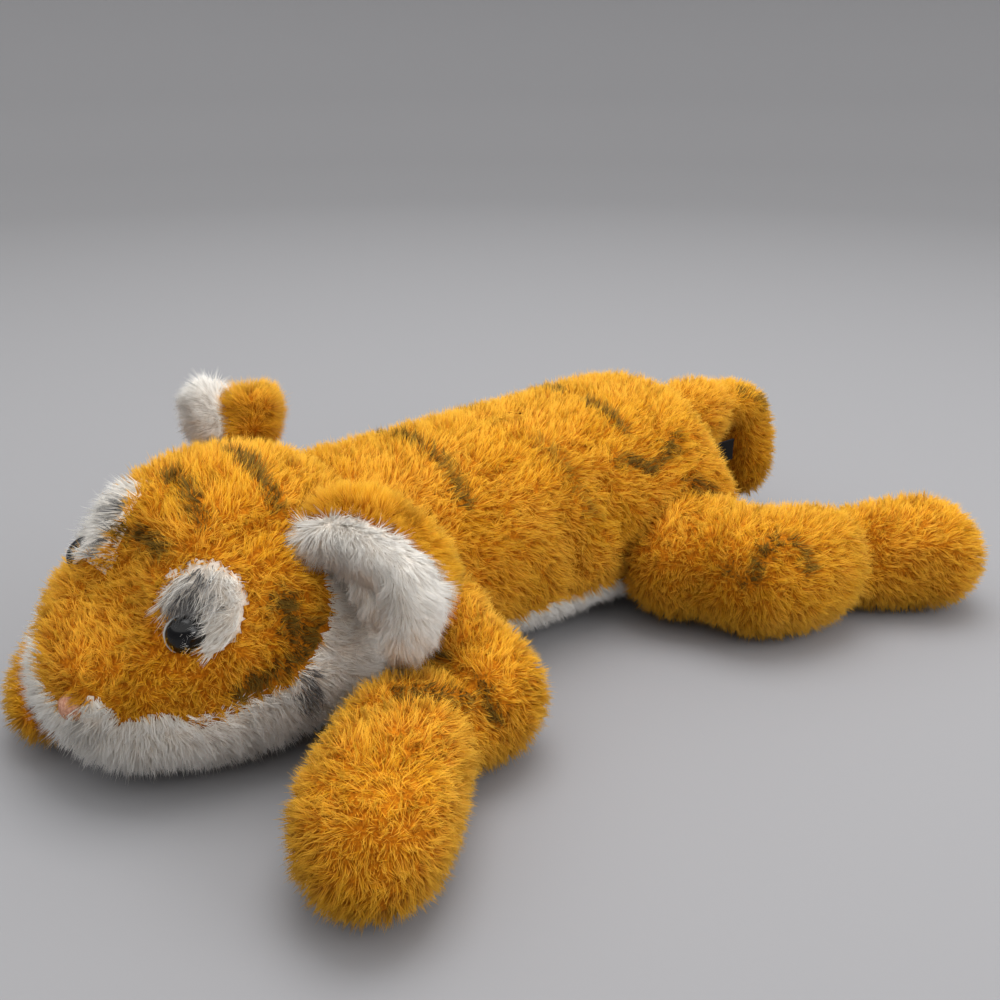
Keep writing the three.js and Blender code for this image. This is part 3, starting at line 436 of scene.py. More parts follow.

# %% [markdown]
# ## The tail
# The tail is two bags, sewn to each other at the fold. One skin that bends there would be stretched thin
# where the tail both swings and bends. So each bag is closed and rides on its own body. Both are round at
# the fold, about the same point, and the fold stays closed when the end swings up.

# %% Make the tail
TAIL_BALLS = {
    "tail_base": [(Vector((0, 0, 0)), 0.0172), (Vector((-0.034, 0, -0.003)), 0.0205)],
    "tail_end": [(Vector((0, 0, 0)), 0.0172)],
}
TAIL_VOXEL = 0.0025
TAIL_FULLNESS = 0.0012
TAIL_END_REACH = 0.055
TAIL_END_BACK = Vector((0.012, 0, 0.002))
OVER_FOLD = Vector((0.008, 0, 0.02))
OVER_FOLD_REACH = 0.03
OVER_FOLD_DIP = Vector((0.001, 0, -0.005))

tail_fold = joint_place["tail_bend"]
end_low, end_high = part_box("tail_end")
tail_parts = {}
for name, balls in TAIL_BALLS.items():
    solid = copy_of(name, f"{name}_stuffing")
    for offset, radius in balls:
        add_ball(solid, tail_fold + offset, radius)
    form = remeshed(solid, TAIL_VOXEL)
    soften(form, SOFTENING["tail"])
    swell(form, TAIL_FULLNESS - PILE_SET_BACK)
    push(form, (end_low + end_high) / 2, TAIL_END_REACH, TAIL_END_BACK)
    push(form, tail_fold + OVER_FOLD, OVER_FOLD_REACH, OVER_FOLD_DIP)
    tail_parts[name] = form
    print(name, len(form.faces), "faces")

# %% [markdown]
# ## Ears
# An ear is two cupped layers, sewn together round the rim: short orange pile on its back, and long white
# pile on its face. Two flat sheets would look like paper. Its lobes are soft and round, so each ear is
# built of balls that follow them in the photograph, each a pixel across, a pixel down and a radius in
# millimetres. The left ear lies open, with its layers a step apart and a hollow between them. The right ear
# is seen edge on, so its balls also go off along the sight line.

# %% Make the ears
EAR_LOBES = {
    "left": {
        "white": [
            (304, 540, 5), (320, 537, 6.5), (337, 537, 7.5), (355, 542, 8), (372, 551, 8.5),
            (390, 562, 9.5), (406, 578, 10.5), (415, 597, 10.5), (414, 616, 9.5), (404, 634, 7)],
        "orange": [
            (308, 525, 5.5), (328, 514, 7), (348, 509, 7.5), (368, 512, 8), (388, 521, 8), (408, 536, 8),
            (425, 555, 8), (436, 575, 7)],
        "hollow": [(352, 566, 5), (366, 582, 6), (378, 602, 6.5)],
    },
    "right": {
        "white": [(206, 400, 8), (210, 418, 8), (220, 433, 7)],
        "orange": [(243, 408, 8), (258, 407, 8.5), (256, 424, 8), (240, 434, 8)],
    },
}
LOBE_LIFT = {"white": 0.005, "orange": -0.005, "hollow": -0.005}
LOBE_DEPTHS = {"left": ((0.0, 1.0),), "right": ((-0.012, 0.8), (0.0, 1.0), (0.012, 0.8))}
EAR_VOXEL = 0.0018

ears = {}
for side, layers in EAR_LOBES.items():
    nodes = (f"{side}_ear_back", f"{side}_ear_front")
    back, front = [corners_of(node).mean(axis=0) for node in nodes]
    facing = Vector(front - back).normalized()
    middle = Vector(back + front) / 2
    solid = bmesh.new()
    paths = {}
    for layer, lobes in layers.items():
        paths[layer] = []
        for across, down, radius in lobes:
            sight = sight_line((across, down))
            lifted = middle + facing * LOBE_LIFT[layer]
            distance = (lifted - CAMERA_PLACE).dot(facing) / sight.dot(facing)
            if side == "right":
                distance = (middle - CAMERA_PLACE).dot(sight)
            place = CAMERA_PLACE + sight * distance
            paths[layer].append(place)
            for depth, share in LOBE_DEPTHS[side]:
                add_ball(solid, place + sight * depth, radius * share / MILLIMETRES_PER_METRE)
    form = remeshed(solid, EAR_VOXEL)
    soften(form, SOFTENING["ear"])
    ears[side] = {"form": form, "nodes": nodes, "white": paths["white"], "orange": paths["orange"]}
    print(side, "ear", len(form.faces), "faces")

# %% [markdown]
# ## Materials
# Shader maths reads best as sums and products. One small class wraps the output of a shader node and gives
# it the signs + and *, each of which adds a Math node. Another class holds a material with its Principled
# shader and adds any other node with one method.

# %% A small language for shader maths


class Value:
    """An output of a shader node. Operators between values add Math nodes."""

    def __init__(self, finish, socket):
        self.finish = finish
        self.socket = socket

    def maths(self, operation, first, second):
        return self.finish.node("ShaderNodeMath", {"operation": operation}, (first, second))

    def __add__(self, other):
        return self.maths("ADD", self, other)

    def __radd__(self, other):
        return self.maths("ADD", other, self)

    def __mul__(self, other):
        return self.maths("MULTIPLY", self, other)

    def __rmul__(self, other):
        return self.maths("MULTIPLY", other, self)


class Finish:
    """A material whose shader is a Principled one."""

    def __init__(self, name):
        self.material = bpy.data.materials.new(name)
        self.material.use_nodes = True
        self.tree = self.material.node_tree
        self.shader = self.tree.nodes["Principled BSDF"]

    def node(self, kind, settings=None, values=(), output=0):
        """Adds a node, with its settings set first and then the values or links of its sockets."""
        node = self.tree.nodes.new(kind)
        for name, setting in (settings or {}).items():
            setattr(node, name, setting)
        pairs = values.items() if isinstance(values, dict) else enumerate(values)
        for key, value in pairs:
            self.link(node.inputs[key], value)
        return Value(self, node.outputs[output])

    def link(self, socket, value):
        if isinstance(value, Value):
            self.tree.links.new(value.socket, socket)
        else:
            socket.default_value = value

    def set(self, **values):
        """Sets or links sockets of the shader, named with underscores for spaces."""
        for name, value in values.items():
            self.link(self.shader.inputs[name.replace("_", " ")], value)
        return self.material

    def attribute(self, name):
        """A number that the piece's mesh holds at each vertex."""
        return self.node("ShaderNodeAttribute", {"attribute_name": name}, output="Fac")

    def noise(self, scale, detail=2.0):
        """A smooth random number over the piece; a larger scale gives smaller spots."""
        place = self.node("ShaderNodeTexCoord", output="Object")
        return self.node("ShaderNodeTexNoise", {}, {"Vector": place, "Scale": scale, "Detail": detail})

    def mix(self, share, first, second):
        """A colour between two colours."""
        settings = {"data_type": "RGBA"}
        return self.node("ShaderNodeMix", settings, {0: share, 6: first, 7: second}, output=2)

    def between(self, value, low, high):
        """0 below low, 1 above high, and a smooth rise between them."""
        settings = {"interpolation_type": "SMOOTHSTEP"}
        values = {"Value": value, "From Min": low, "From Max": high}
        return self.node("ShaderNodeMapRange", settings, values)

    def shifted(self, tint, **values):
        """A colour with its brightness or saturation changed."""
        return self.node("ShaderNodeHueSaturation", {}, {"Color": tint, **values})


def colour(red, green, blue):
    """A colour given as it looks on a screen, in 0 to 255, for a shader's socket."""
    linear = []
    for level in (red, green, blue):
        share = level / 255
        linear.append(share / 12.92 if share <= 0.04045 else ((share + 0.055) / 1.055) ** 2.4)
    return (*linear, 1.0)


print("white as a socket takes it:", colour(255, 255, 255))

# %% [markdown]
# A pile strand is dark at its root, where little light gets in, and pale at its tip. Each strand differs a
# little from its neighbour, and whole patches of cloth are a little lighter or warmer. The strand's mesh
# holds how far along it a place is, its own tone, and how much dark dye it took, for the stripes and for
# the painted shade along the cheek's fold. Sheen stands for the light that the fine fibres scatter at their
# edges. Between the strands shows the knitted back of the fabric.

# %% Pile and cloth finishes
PATCH_SCALE = 28.0
PATCH_SHARE = 0.6
TONE_SHARE = 0.4
KNIT_SCALE = 900.0
KNIT_DEPTH = 0.0006
FIBRE_ROUGHNESS = 0.95
ORANGE_GLOW = (1.0, 0.75, 0.35, 1.0)
WHITE_GLOW = (1.0, 0.97, 0.92, 1.0)


def pile_finish(name, root, middle, tip, stripe_root, stripe_tip, glow, sheen):
    """Fur whose strands run from a dark root to a pale tip, with dyed stripes."""
    finish = Finish(name)
    along = finish.attribute("along")
    tone = finish.attribute("tone")
    stripe = finish.attribute("stripe")
    lower = finish.mix(finish.between(along, 0.0, 0.55), root, middle)
    pile = finish.mix(finish.between(along, 0.4, 1.0), lower, tip)
    # The stripes' dark colours also paint the shade along the cheek's fold.
    dyed = finish.mix(finish.between(along, 0.1, 0.9), stripe_root, stripe_tip)
    striped = finish.mix(stripe, pile, dyed)
    patches = finish.noise(PATCH_SCALE)
    shade = finish.between(patches * PATCH_SHARE + tone * TONE_SHARE, 0.2, 0.8)
    dark = finish.shifted(striped, Value=0.88)
    light = finish.shifted(striped, Value=1.08, Saturation=0.97)
    return finish.set(
        Base_Color=finish.mix(shade, dark, light), Roughness=FIBRE_ROUGHNESS, Specular_IOR_Level=0.08,
        Sheen_Weight=sheen, Sheen_Roughness=0.5, Sheen_Tint=glow)


def cloth_finish(name, dark, light):
    """The knitted back of a pile fabric, which shows only deep between the strands."""
    finish = Finish(name)
    knit = finish.noise(KNIT_SCALE)
    base = finish.mix(finish.between(knit, 0.35, 0.65), dark, light)
    relief = {"Strength": 0.6, "Distance": KNIT_DEPTH, "Height": knit}
    bump = finish.node("ShaderNodeBump", {}, relief, output="Normal")
    return finish.set(Base_Color=base, Roughness=FIBRE_ROUGHNESS, Specular_IOR_Level=0.1, Normal=bump)


ORANGE_PILE = pile_finish(
    "orange_pile", colour(176, 104, 6), colour(228, 154, 16), colour(250, 188, 46),
    colour(52, 40, 16), colour(92, 75, 32), ORANGE_GLOW, sheen=0.12)
WHITE_PILE = pile_finish(
    "white_pile", colour(250, 239, 224), colour(254, 247, 236), colour(255, 252, 246),
    colour(46, 46, 50), colour(80, 80, 84), WHITE_GLOW, sheen=0.4)
ORANGE_CLOTH = cloth_finish("orange_cloth", colour(160, 92, 10), colour(196, 122, 20))
WHITE_CLOTH = cloth_finish("white_cloth", colour(222, 210, 196), colour(240, 230, 218))
SLOT_FINISH = {
    "orange_fabric": (ORANGE_PILE, ORANGE_CLOTH),
    "white_fabric": (WHITE_PILE, WHITE_CLOTH),
}
print("finishes:", [finish.name for pair in SLOT_FINISH.values() for finish in pair])

# %% [markdown]
# ## Strands
# One strand is a thin three-sided spike. It is made once with bmesh, and its copies are placed by arrays of
# numbers: where each root is, where it leans and how long it is. Hair curves would be lighter, but a mesh
# can be moved, exported and looked at anywhere. Each strand also gets a place on a flat map, where its
# colour can be painted.

# %% Make one strand
STRAND_SIDES = 3
NEAR_TIP = 0.99
MAP_FOOT = (0.45, 0.07)
MAP_FOOT_SIZE = (0.7, 0.1)
MAP_SIDES = (0.1, 0.15)
MAP_SIDES_SIZE = (0.55, 0.8)


def strand_shape():
    """A strand of unit length and width that stands on the origin, as vertices and triangles."""
    bm = bmesh.new()
    bmesh.ops.create_cone(
        bm, cap_ends=True, segments=STRAND_SIDES, radius1=0.5, radius2=0.0, depth=1.0,
        matrix=Matrix.Translation((0, 0, 0.5)))
    bmesh.ops.remove_doubles(bm, verts=bm.verts, dist=1e-4)
    bmesh.ops.recalc_face_normals(bm, faces=bm.faces)
    bm.verts.index_update()
    places = np.array([vert.co[:] for vert in bm.verts])
    corners = np.array([[vert.index for vert in face.verts] for face in bm.faces])
    bm.free()
    return places, corners


def side_turns(points):
    """How far round the strand each corner of one side lies, with the tip at the middle of the side."""
    order = np.argsort(points[:, 2])
    turned = np.empty(len(points))
    turned[order] = np.unwrap(np.arctan2(points[:, 1], points[:, 0])[order])
    at_tip = points[:, 2] > NEAR_TIP
    turned[at_tip] = turned[~at_tip].mean()
    share = (turned / (2 * np.pi)) % 1.0
    if np.ptp(share) > 0.5:
        share = np.where(share < 0.5, share + 1.0, share)
    return share


def strand_map(places, corners):
    """Where a strand's corners lie on its own small square of the map: the foot below, the sides above."""
    flat = []
    for corner in corners:
        points = places[corner]
        if np.ptp(points[:, 2]) < MERGE_DISTANCE:
            flat.append(MAP_FOOT + points[:, :2] * MAP_FOOT_SIZE)
        else:
            turns = np.column_stack((side_turns(points), points[:, 2]))
            flat.append(MAP_SIDES + turns * MAP_SIDES_SIZE)
    return np.concatenate(flat)


strand_places, strand_corners = strand_shape()
strand_uv = strand_map(strand_places, strand_corners)
print("strand:", len(strand_places), "vertices,", len(strand_corners), "triangles")

# %% [markdown]
# Strands that stand near each other lean together, and that makes the waves of the fur. A field of smooth
# random vectors gives the lean: random numbers on a coarse grid, blended between its corners. A second,
# finer field gives the curl. Each strand also follows the comb direction, which runs from the head to the
# tail and down the limbs, as the fabric was cut.

# %% Fields and combs
FIELD_SIZE = 64
FIELD_SHIFT = 1.0


def unit(vectors):
    """Vectors with a length of 1."""
    return vectors / np.maximum(np.linalg.norm(vectors, axis=1), TINY)[:, None]


def field(places, scale, seed):
    """A smooth random vector at each place."""
    local = np.random.default_rng(seed)
    grid = local.normal(size=(FIELD_SIZE, FIELD_SIZE, FIELD_SIZE, 3))
    spot = (places + FIELD_SHIFT) / scale
    cell = np.floor(spot).astype(int)
    inside = spot - cell
    inside = inside * inside * (3 - 2 * inside)
    total = np.zeros_like(places)
    for corner in np.ndindex(2, 2, 2):
        weight = np.prod(np.where(np.array(corner) == 1, inside, 1 - inside), axis=1)
        index = (cell + corner) % FIELD_SIZE
        total += grid[index[:, 0], index[:, 1], index[:, 2]] * weight[:, None]
    return total


def nearest_on_path(places, path):
    """How far each place is from a path, and the direction of the path where it passes nearest."""
    points = [np.array(point[:]) for point in path]
    best = np.full(len(places), np.inf)
    direction = np.zeros_like(places)
    for start, end in zip(points, points[1:]):
        way = end - start
        share = np.clip((places - start) @ way / max(way @ way, TINY), 0, 1)
        away = np.linalg.norm(places - start - share[:, None] * way, axis=1)
        nearer = away < best
        best[nearer] = away[nearer]
        direction[nearer] = way / max(np.linalg.norm(way), TINY)
    return best, direction


sway = field(np.zeros((1, 3)), 0.01, 1)
print("a field's vector at the origin:", sway.round(2))

# %% [markdown]
# The roots are strewn on the form by chance, and then thinned to one in each cell of a fine grid, so that
# they lie about evenly. Roots deep inside a neighbouring form would never be seen, and neither would roots
# that are pressed on the floor, so those are left out.

# %% Strew the roots
SPACING = 0.00086
TRIES_PER_CELL = 5
BURIED = 0.005
PRESSED_HEIGHT = 0.004
PRESSED_FACING = -0.6
CELL_KEY = (73856093, 19349663, 83492791)


def cell_keys(places, size):
    """One number for each cell of a grid, the same for all places in the cell."""
    cells = np.floor(places / size).astype(np.int64)
    return (cells[:, 0] * CELL_KEY[0]) ^ (cells[:, 1] * CELL_KEY[1]) ^ (cells[:, 2] * CELL_KEY[2])


def scattered(bm, spacing):
    """Evenly strewn places on a form, with their normals."""
    flat = bm.copy()
    bmesh.ops.triangulate(flat, faces=flat.faces)
    flat.normal_update()
    corners = np.array([[vert.co[:] for vert in face.verts] for face in flat.faces])
    normals = np.array([[vert.normal[:] for vert in face.verts] for face in flat.faces])
    flat.free()
    sides = np.cross(corners[:, 1] - corners[:, 0], corners[:, 2] - corners[:, 0])
    areas = np.linalg.norm(sides, axis=1)
    count = int(areas.sum() / 2 / spacing ** 2 * TRIES_PER_CELL)
    chosen = rng.choice(len(areas), count, p=areas / areas.sum())
    first, second = rng.random(count), rng.random(count)
    over = first + second > 1
    first[over], second[over] = 1 - first[over], 1 - second[over]
    weights = np.column_stack((1 - first - second, first, second))[:, :, None]
    places = (corners[chosen] * weights).sum(axis=1)
    outward = unit((normals[chosen] * weights).sum(axis=1))
    kept = np.unique(cell_keys(places, spacing), return_index=True)[1]
    return places[kept], outward[kept]


def uncovered(places, neighbours, depth):
    """Which places aren't deep inside a neighbouring form."""
    open_air = np.ones(len(places), bool)
    for tree, low, high in neighbours:
        near_box = ((places > low) & (places < high)).all(axis=1) & open_air
        for index in np.flatnonzero(near_box):
            spot = Vector(places[index])
            above = tree.ray_cast(spot, Vector((0, 0, 1)))
            if above[0] is not None and above[1].z > 0 and tree.find_nearest(spot)[3] > depth:
                open_air[index] = False
    return open_air


def strewn(form, neighbours, spacing=SPACING, depth=BURIED, on_the_floor=True):
    """Roots and normals on a form, without those that a neighbour or the floor hides."""
    roots, outward = scattered(form, spacing)
    kept = uncovered(roots, neighbours, depth)
    if on_the_floor:
        kept &= ~((roots[:, 2] < PRESSED_HEIGHT) & (outward[:, 2] < PRESSED_FACING))
    return roots[kept], outward[kept]


FORMS = {name: limb["form"] for name, limb in limbs.items()}
FORMS.update(trunk=trunk, head=head, **tail_parts)
TREES = {name: tree_of(form) for name, form in FORMS.items()}


def neighbour(name):
    """A form's tree with the lowest and highest corner of its box."""
    cloud = np.array([vert.co[:] for vert in FORMS[name].verts])
    return TREES[name], cloud.min(axis=0), cloud.max(axis=0)


def others(*names):
    """The neighbours of a form: all forms but those named."""
    return [neighbour(name) for name in FORMS if name not in names]


print("forms that can hide each other's roots:", list(FORMS))

# %% [markdown]
# Where a strand leans is a sum: up from the cloth, along the comb, a share of both fields, a little chance,
# and down by its weight. Then the tips in each small cell draw together, as in brushed fur. The body's pile
# is short and curly. The white pile is longer, longest on the eye patches, and on the ear's face it is fine
# and hangs down.

# %% Lean and gather the strands
STYLE = {
    "body": {
        "length": 0.0065, "width": 0.0005, "wave": 0.011, "waviness": 0.3, "stray": 0.2, "curl": 0.85,
        "clump": 0.0024, "stand": 0.92, "lean": 0.28, "sag": 0.06, "gather": 0.8},
    "white": {
        "length": 0.0078, "width": 0.0005, "wave": 0.015, "waviness": 0.3, "stray": 0.22, "curl": 0.5,
        "clump": 0.0032, "stand": 0.9, "lean": 0.4, "sag": 0.12, "gather": 0.6},
    "patch": {
        "length": 0.0092, "width": 0.00045, "wave": 0.013, "waviness": 0.35, "stray": 0.2, "curl": 0.45,
        "clump": 0.003, "stand": 0.75, "lean": 0.6, "sag": 0.15, "gather": 0.6},
    "ear_face": {
        "length": 0.0082, "width": 0.0003, "wave": 0.01, "waviness": 0.35, "stray": 0.16, "curl": 0.3,
        "clump": 0.0032, "stand": 0.55, "lean": 0.6, "sag": 0.4, "gather": 0.42},
    "ear_back": {
        "length": 0.0068, "width": 0.0003, "wave": 0.011, "waviness": 0.3, "stray": 0.2, "curl": 0.35,
        "clump": 0.0028, "stand": 0.85, "lean": 0.4, "sag": 0.05, "gather": 0.5},
}
CURL_SHARE = 0.8
CURL_SEED = 50
LEAST_RISE = 0.25
LENGTH_SPREAD = 0.2
WIDTH_SPREAD = 0.25
GATHER_SPREAD = 1.4


def leans(roots, outward, comb, style, seed, local):
    """The direction of each strand."""
    flow = unit(comb - (comb * outward).sum(axis=1)[:, None] * outward)
    wave = field(roots, style["wave"], seed) * style["waviness"]
    curl = field(roots, style["clump"] * CURL_SHARE, seed + CURL_SEED) * style["curl"]
    stray = local.normal(size=roots.shape) * style["stray"]
    weight = np.array([0, 0, -style["sag"]])
    lean = unit(style["stand"] * outward + style["lean"] * flow + wave + curl + stray + weight)
    return unit(lean + outward * np.maximum(LEAST_RISE - (lean * outward).sum(axis=1), 0)[:, None])


def varied(local, count, spread):
    """Numbers about 1 that differ by chance from strand to strand."""
    return 1 + spread * local.normal(size=count).clip(-2, 2)


def gathered(tips, roots, style, local):
    """Tips drawn towards the middle of all tips whose roots share a cell of a loose grid."""
    keys = cell_keys(roots + local.random(3) * style["clump"], style["clump"])
    group = np.unique(keys, return_inverse=True)[1]
    sizes = np.bincount(group)[:, None]
    centre = np.column_stack([np.bincount(group, tips[:, axis]) for axis in range(3)]) / sizes
    share = style["gather"] * local.random((len(tips), 1)) * GATHER_SPREAD
    return tips + (centre[group] - tips) * share


for name, style in STYLE.items():
    print(name, "pile:", round(style["length"] * MILLIMETRES_PER_METRE, 1), "mm long")

# %% [markdown]
# The strand's own shape is then stretched from each root to its tip, for all strands at once. A bmesh of
# thousands of copies would be slow, so the arrays go into the mesh in one step. The normals lean outwards
# more than a spike's own would, so that the fur is shaded as one soft surface.

# %% Grow strands on a form
FLOOR_LEVEL = 0.0003
ROOT_DEPTH = 0.001
MAP_ROW = 0.006
NORMAL_OUTWARD = 0.8
NORMAL_ALONG = 0.3
NORMAL_ROUND = 0.9


def mesh_of(name, places, corners):
    """A mesh from arrays of places and of triangles."""
    mesh = bpy.data.meshes.new(name)
    mesh.vertices.add(len(places))
    mesh.vertices.foreach_set("co", places.reshape(-1).astype(np.float32))
    mesh.loops.add(corners.size)
    mesh.loops.foreach_set("vertex_index", corners.reshape(-1).astype(np.int32))
    mesh.polygons.add(len(corners))
    mesh.polygons.foreach_set("loop_start", np.arange(0, corners.size, 3, dtype=np.int32))
    mesh.update(calc_edges=True)
    mesh.shade_smooth()
    return mesh


def add_numbers(mesh, name, kind, key, numbers):
    """Gives each vertex of a mesh a number or a vector of its own."""
    layer = mesh.attributes.new(name, kind, "POINT")
    layer.data.foreach_set(key, numbers.reshape(-1).astype(np.float32))


def lay_map(mesh, roots):
    """Gives each strand its own square of the map, so that neighbours on the toy are neighbours there."""
    count = len(roots)
    squares = math.ceil(math.sqrt(count))
    order = np.empty(count, int)
    order[np.lexsort((roots[:, 1], np.round(roots[:, 0] / MAP_ROW)))] = np.arange(count)
    corner = np.column_stack((order % squares, order // squares))[:, None, :]
    layer = mesh.uv_layers.new(name="OFBake")
    layer.data.foreach_set("uv", ((corner + strand_uv) / squares).reshape(-1).astype(np.float32))


def grown(name, roots, outward, comb, style, dye, seed):
    """A piece of strands at the roots, which lean along the comb direction and gather in clumps."""
    count, per_strand = len(roots), len(strand_places)
    local = np.random.default_rng(seed)
    lean = leans(roots, outward, comb, style, seed, local)
    tips = roots + lean * (style["length"] * varied(local, count, LENGTH_SPREAD))[:, None]
    above = ((tips - roots) * outward).sum(axis=1)[:, None]
    dyed = np.zeros(count) if dye is None else dye(tips - outward * above)
    tips = gathered(tips, roots, style, local)
    level = strand_places[:, 2][None, :, None]
    spine = (1 - level) * (roots - outward * ROOT_DEPTH)[:, None, :] + level * tips[:, None, :]
    side = unit(np.cross(lean, local.normal(size=(count, 3))))
    front = unit(np.cross(lean, side))
    width = style["width"] * varied(local, count, WIDTH_SPREAD)[:, None, None]
    across = strand_places[:, 0][None, :, None] * side[:, None, :]
    across = across + strand_places[:, 1][None, :, None] * front[:, None, :]
    places = (spine + across * width).reshape(-1, 3)
    places[:, 2] = np.maximum(places[:, 2], FLOOR_LEVEL)
    corners = strand_corners[None, :, :] + (np.arange(count) * per_strand)[:, None, None]
    mesh = mesh_of(name, places, corners.reshape(-1, 3))
    soft = unit(outward * NORMAL_OUTWARD + lean * NORMAL_ALONG)[:, None, :] + across * NORMAL_ROUND
    add_numbers(mesh, "custom_normal", "FLOAT_VECTOR", "vector", unit(soft.reshape(-1, 3)))
    add_numbers(mesh, "along", "FLOAT", "value", np.tile(strand_places[:, 2], count))
    add_numbers(mesh, "tone", "FLOAT", "value", np.repeat(local.random(count), per_strand))
    # the share of dye, which is painted shade along the cheek's fold
    add_numbers(mesh, "stripe", "FLOAT", "value", np.repeat(dyed, per_strand))
    lay_map(mesh, roots)
    print(name, count, "strands,", len(mesh.polygons), "triangles")
    return linked(name, mesh)


# %% [markdown]
# ## Stripes
# The stripes are airbrushed on the pile: thin, soft and broken. They were followed in the photograph, so
# each is a line of pixels that is laid on the form it crosses. Dye could be painted on the cloth, but the
# strands hide the cloth, so each strand takes its dye as a whole. The far side of the toy repeats the near
# one.
# The dark band low on the cheek is painted shade along the cheek's fold, laid and dyed as the stripes are.

# %% Follow the stripes
TRUNK_STRIPES = {
    "shoulder": [(419, 445), (439, 459), (467, 505)],
    "back_front": [(557, 384), (590, 404), (626, 432)],
    "check_mark": [(616, 459), (648, 467), (665, 457), (677, 436)],
    "rump_spot": [(689, 482), (712, 492)],
}
TRUNK_FAINT_STRIPES = {
    "back_faint": [(538, 440), (555, 455), (573, 480), (590, 512)],
}
HEAD_STRIPES = {
    "forehead_high": [(172, 473), (194, 495)],
    "forehead_low": [(192, 507), (205, 523)],
    "crown_long": [(233, 454), (255, 465), (267, 490), (280, 513)],
    "brow": [(119, 529), (139, 532), (167, 549)],
    "crown_back": [(325, 467), (344, 477)],
}
CHEEK_STRIPE_AND_FOLD_SHADE = {
    "cheek_rise": [(285, 606), (297, 640), (286, 664)],
    # the band low on the cheek is painted shade along its fold
    "cheek_fold_shade": [(248, 688), (276, 674), (302, 652), (317, 624)],
}
PATCH_MARKS = {
    "patch_long": [(183, 604), (194, 590), (190, 577)],
    "patch_top": [(203, 563), (215, 570)],
    "patch_low": [(170, 617), (180, 611), (190, 603)],
    "patch_eye": [(174, 624), (190, 620)],
    "patch_side": [(196, 590), (207, 606)],
    "far_patch_top": [(104, 522), (118, 511)],
    "far_patch_low": [(93, 552), (102, 544)],
}
WHITE_CHEEK_MARKS = {
    "cheek_rear": [(317, 676), (308, 703)],
}
WHITE_FAINT_MARKS = {
    "muzzle": [(78, 727), (96, 738), (108, 733)],
    "cheek_low": [(262, 712), (300, 696)],
}
LIMB_STRIPES = {
    "left_front": {
        "wrist": [(400, 700), (442, 697), (471, 706)],
        "wrist_fold": [(488, 667), (540, 661)],
        "paw_side": [(442, 658), (484, 690), (494, 723), (488, 772)],
    },
    "left_hind": {
        "thigh_front": [(728, 571), (744, 580), (758, 577), (763, 556), (766, 543)],
        "thigh_back": [(766, 543), (779, 539), (796, 544), (812, 568)],
    },
}
TAIL_STRIPES = {
    "tail_base": {"tail_top": [(654, 379), (695, 396)]},
    "tail_end": {"fold_top": [(742, 395), (760, 405)]},
}
print("stripes on the trunk:", len(TRUNK_STRIPES), "on the head:", len(HEAD_STRIPES) + len(CHEEK_STRIPE_AND_FOLD_SHADE))

# %% [markdown]
# A stripe's edge is frayed, because the spray misses some strands. A field of chance moves the edge in and
# out, and the dye fades over the last part of the stripe's width.

# %% Dye the strands
STRIPE_WIDTH = 0.0028
MARK_WIDTH = 0.0023
# The cheek's lines are wider: one is a stripe, and one is painted shade along the cheek's fold.
CHEEK_STRIPE_AND_SHADE_WIDTH = 0.0042
FAINT_ORANGE = 0.6
FAINT_WHITE = 0.35
DYE_STRENGTH = 0.9
DYE_EDGE = 1.7
FRAY_SCALE = 0.005
FRAY_SHARE = 0.35
FRAY_SEED = 5


def laid(stripes, name):
    """The lines of stripes, laid on a form."""
    lines = [line_on(pixels, TREES[name]) for pixels in stripes.values()]
    return [line for line in lines if len(line) > 1]


def mirrored(lines):
    """The same lines on the other side of the toy."""
    return [[other_side(place) for place in line] for line in lines]


def stripe_dye(groups):
    """How strongly stripes, and the painted shade along the cheek's fold, dye each place, as a function. A
    group is its lines, a width and a strength.
    """
    def dye(places):
        dyed = np.zeros(len(places))
        fray = field(places, FRAY_SCALE, FRAY_SEED)[:, 0] * FRAY_SHARE
        for lines, width, strength in groups:
            for line in lines:
                away = nearest_on_path(places, line)[0] / width + fray
                dyed = np.maximum(dyed, np.clip(DYE_EDGE - away, 0, 1) * strength)
        return dyed * DYE_STRENGTH
    return dye


trunk_lines = laid(TRUNK_STRIPES, "trunk")
trunk_faint_lines = laid(TRUNK_FAINT_STRIPES, "trunk")
TRUNK_DYE = stripe_dye([
    (trunk_lines + mirrored(trunk_lines), STRIPE_WIDTH, 1.0),
    (trunk_faint_lines + mirrored(trunk_faint_lines), STRIPE_WIDTH, FAINT_ORANGE)])
# The orange of the head takes its stripes and the painted shade along the cheek's fold.
HEAD_DYE_AND_SHADE = {
    "orange_fabric": stripe_dye([
        (laid(HEAD_STRIPES, "head"), STRIPE_WIDTH, 1.0),
        # the cheek's stripe, and the painted shade along its fold
        (laid(CHEEK_STRIPE_AND_FOLD_SHADE, "head"), CHEEK_STRIPE_AND_SHADE_WIDTH, 1.0)]),
    "white_fabric": stripe_dye([
        (laid(PATCH_MARKS, "head"), MARK_WIDTH, 1.0),
        (laid(WHITE_FAINT_MARKS, "head"), STRIPE_WIDTH, FAINT_WHITE),
        (laid(WHITE_CHEEK_MARKS, "head"), STRIPE_WIDTH, 1.0)]),
}
print("lines laid on the trunk:", len(trunk_lines + trunk_faint_lines))

# %% [markdown]
# ## Dress the forms
# Each panel of cloth is the part of its form that lies nearest to the solid it stands for. A panel with
# open edges gets a real thickness, and a form that one cloth covers is closed already. The strands grow
# from the same part, so seams between colours fall where the panels meet.

# %% Helpers that dress a form
CLOTH_THICKNESS = 0.0018
DOWNWARD = np.array([0, 0, -1])


def face_places(bm):
    """The middle of each face of a form."""
    return np.array([face.calc_center_median()[:] for face in bm.faces])


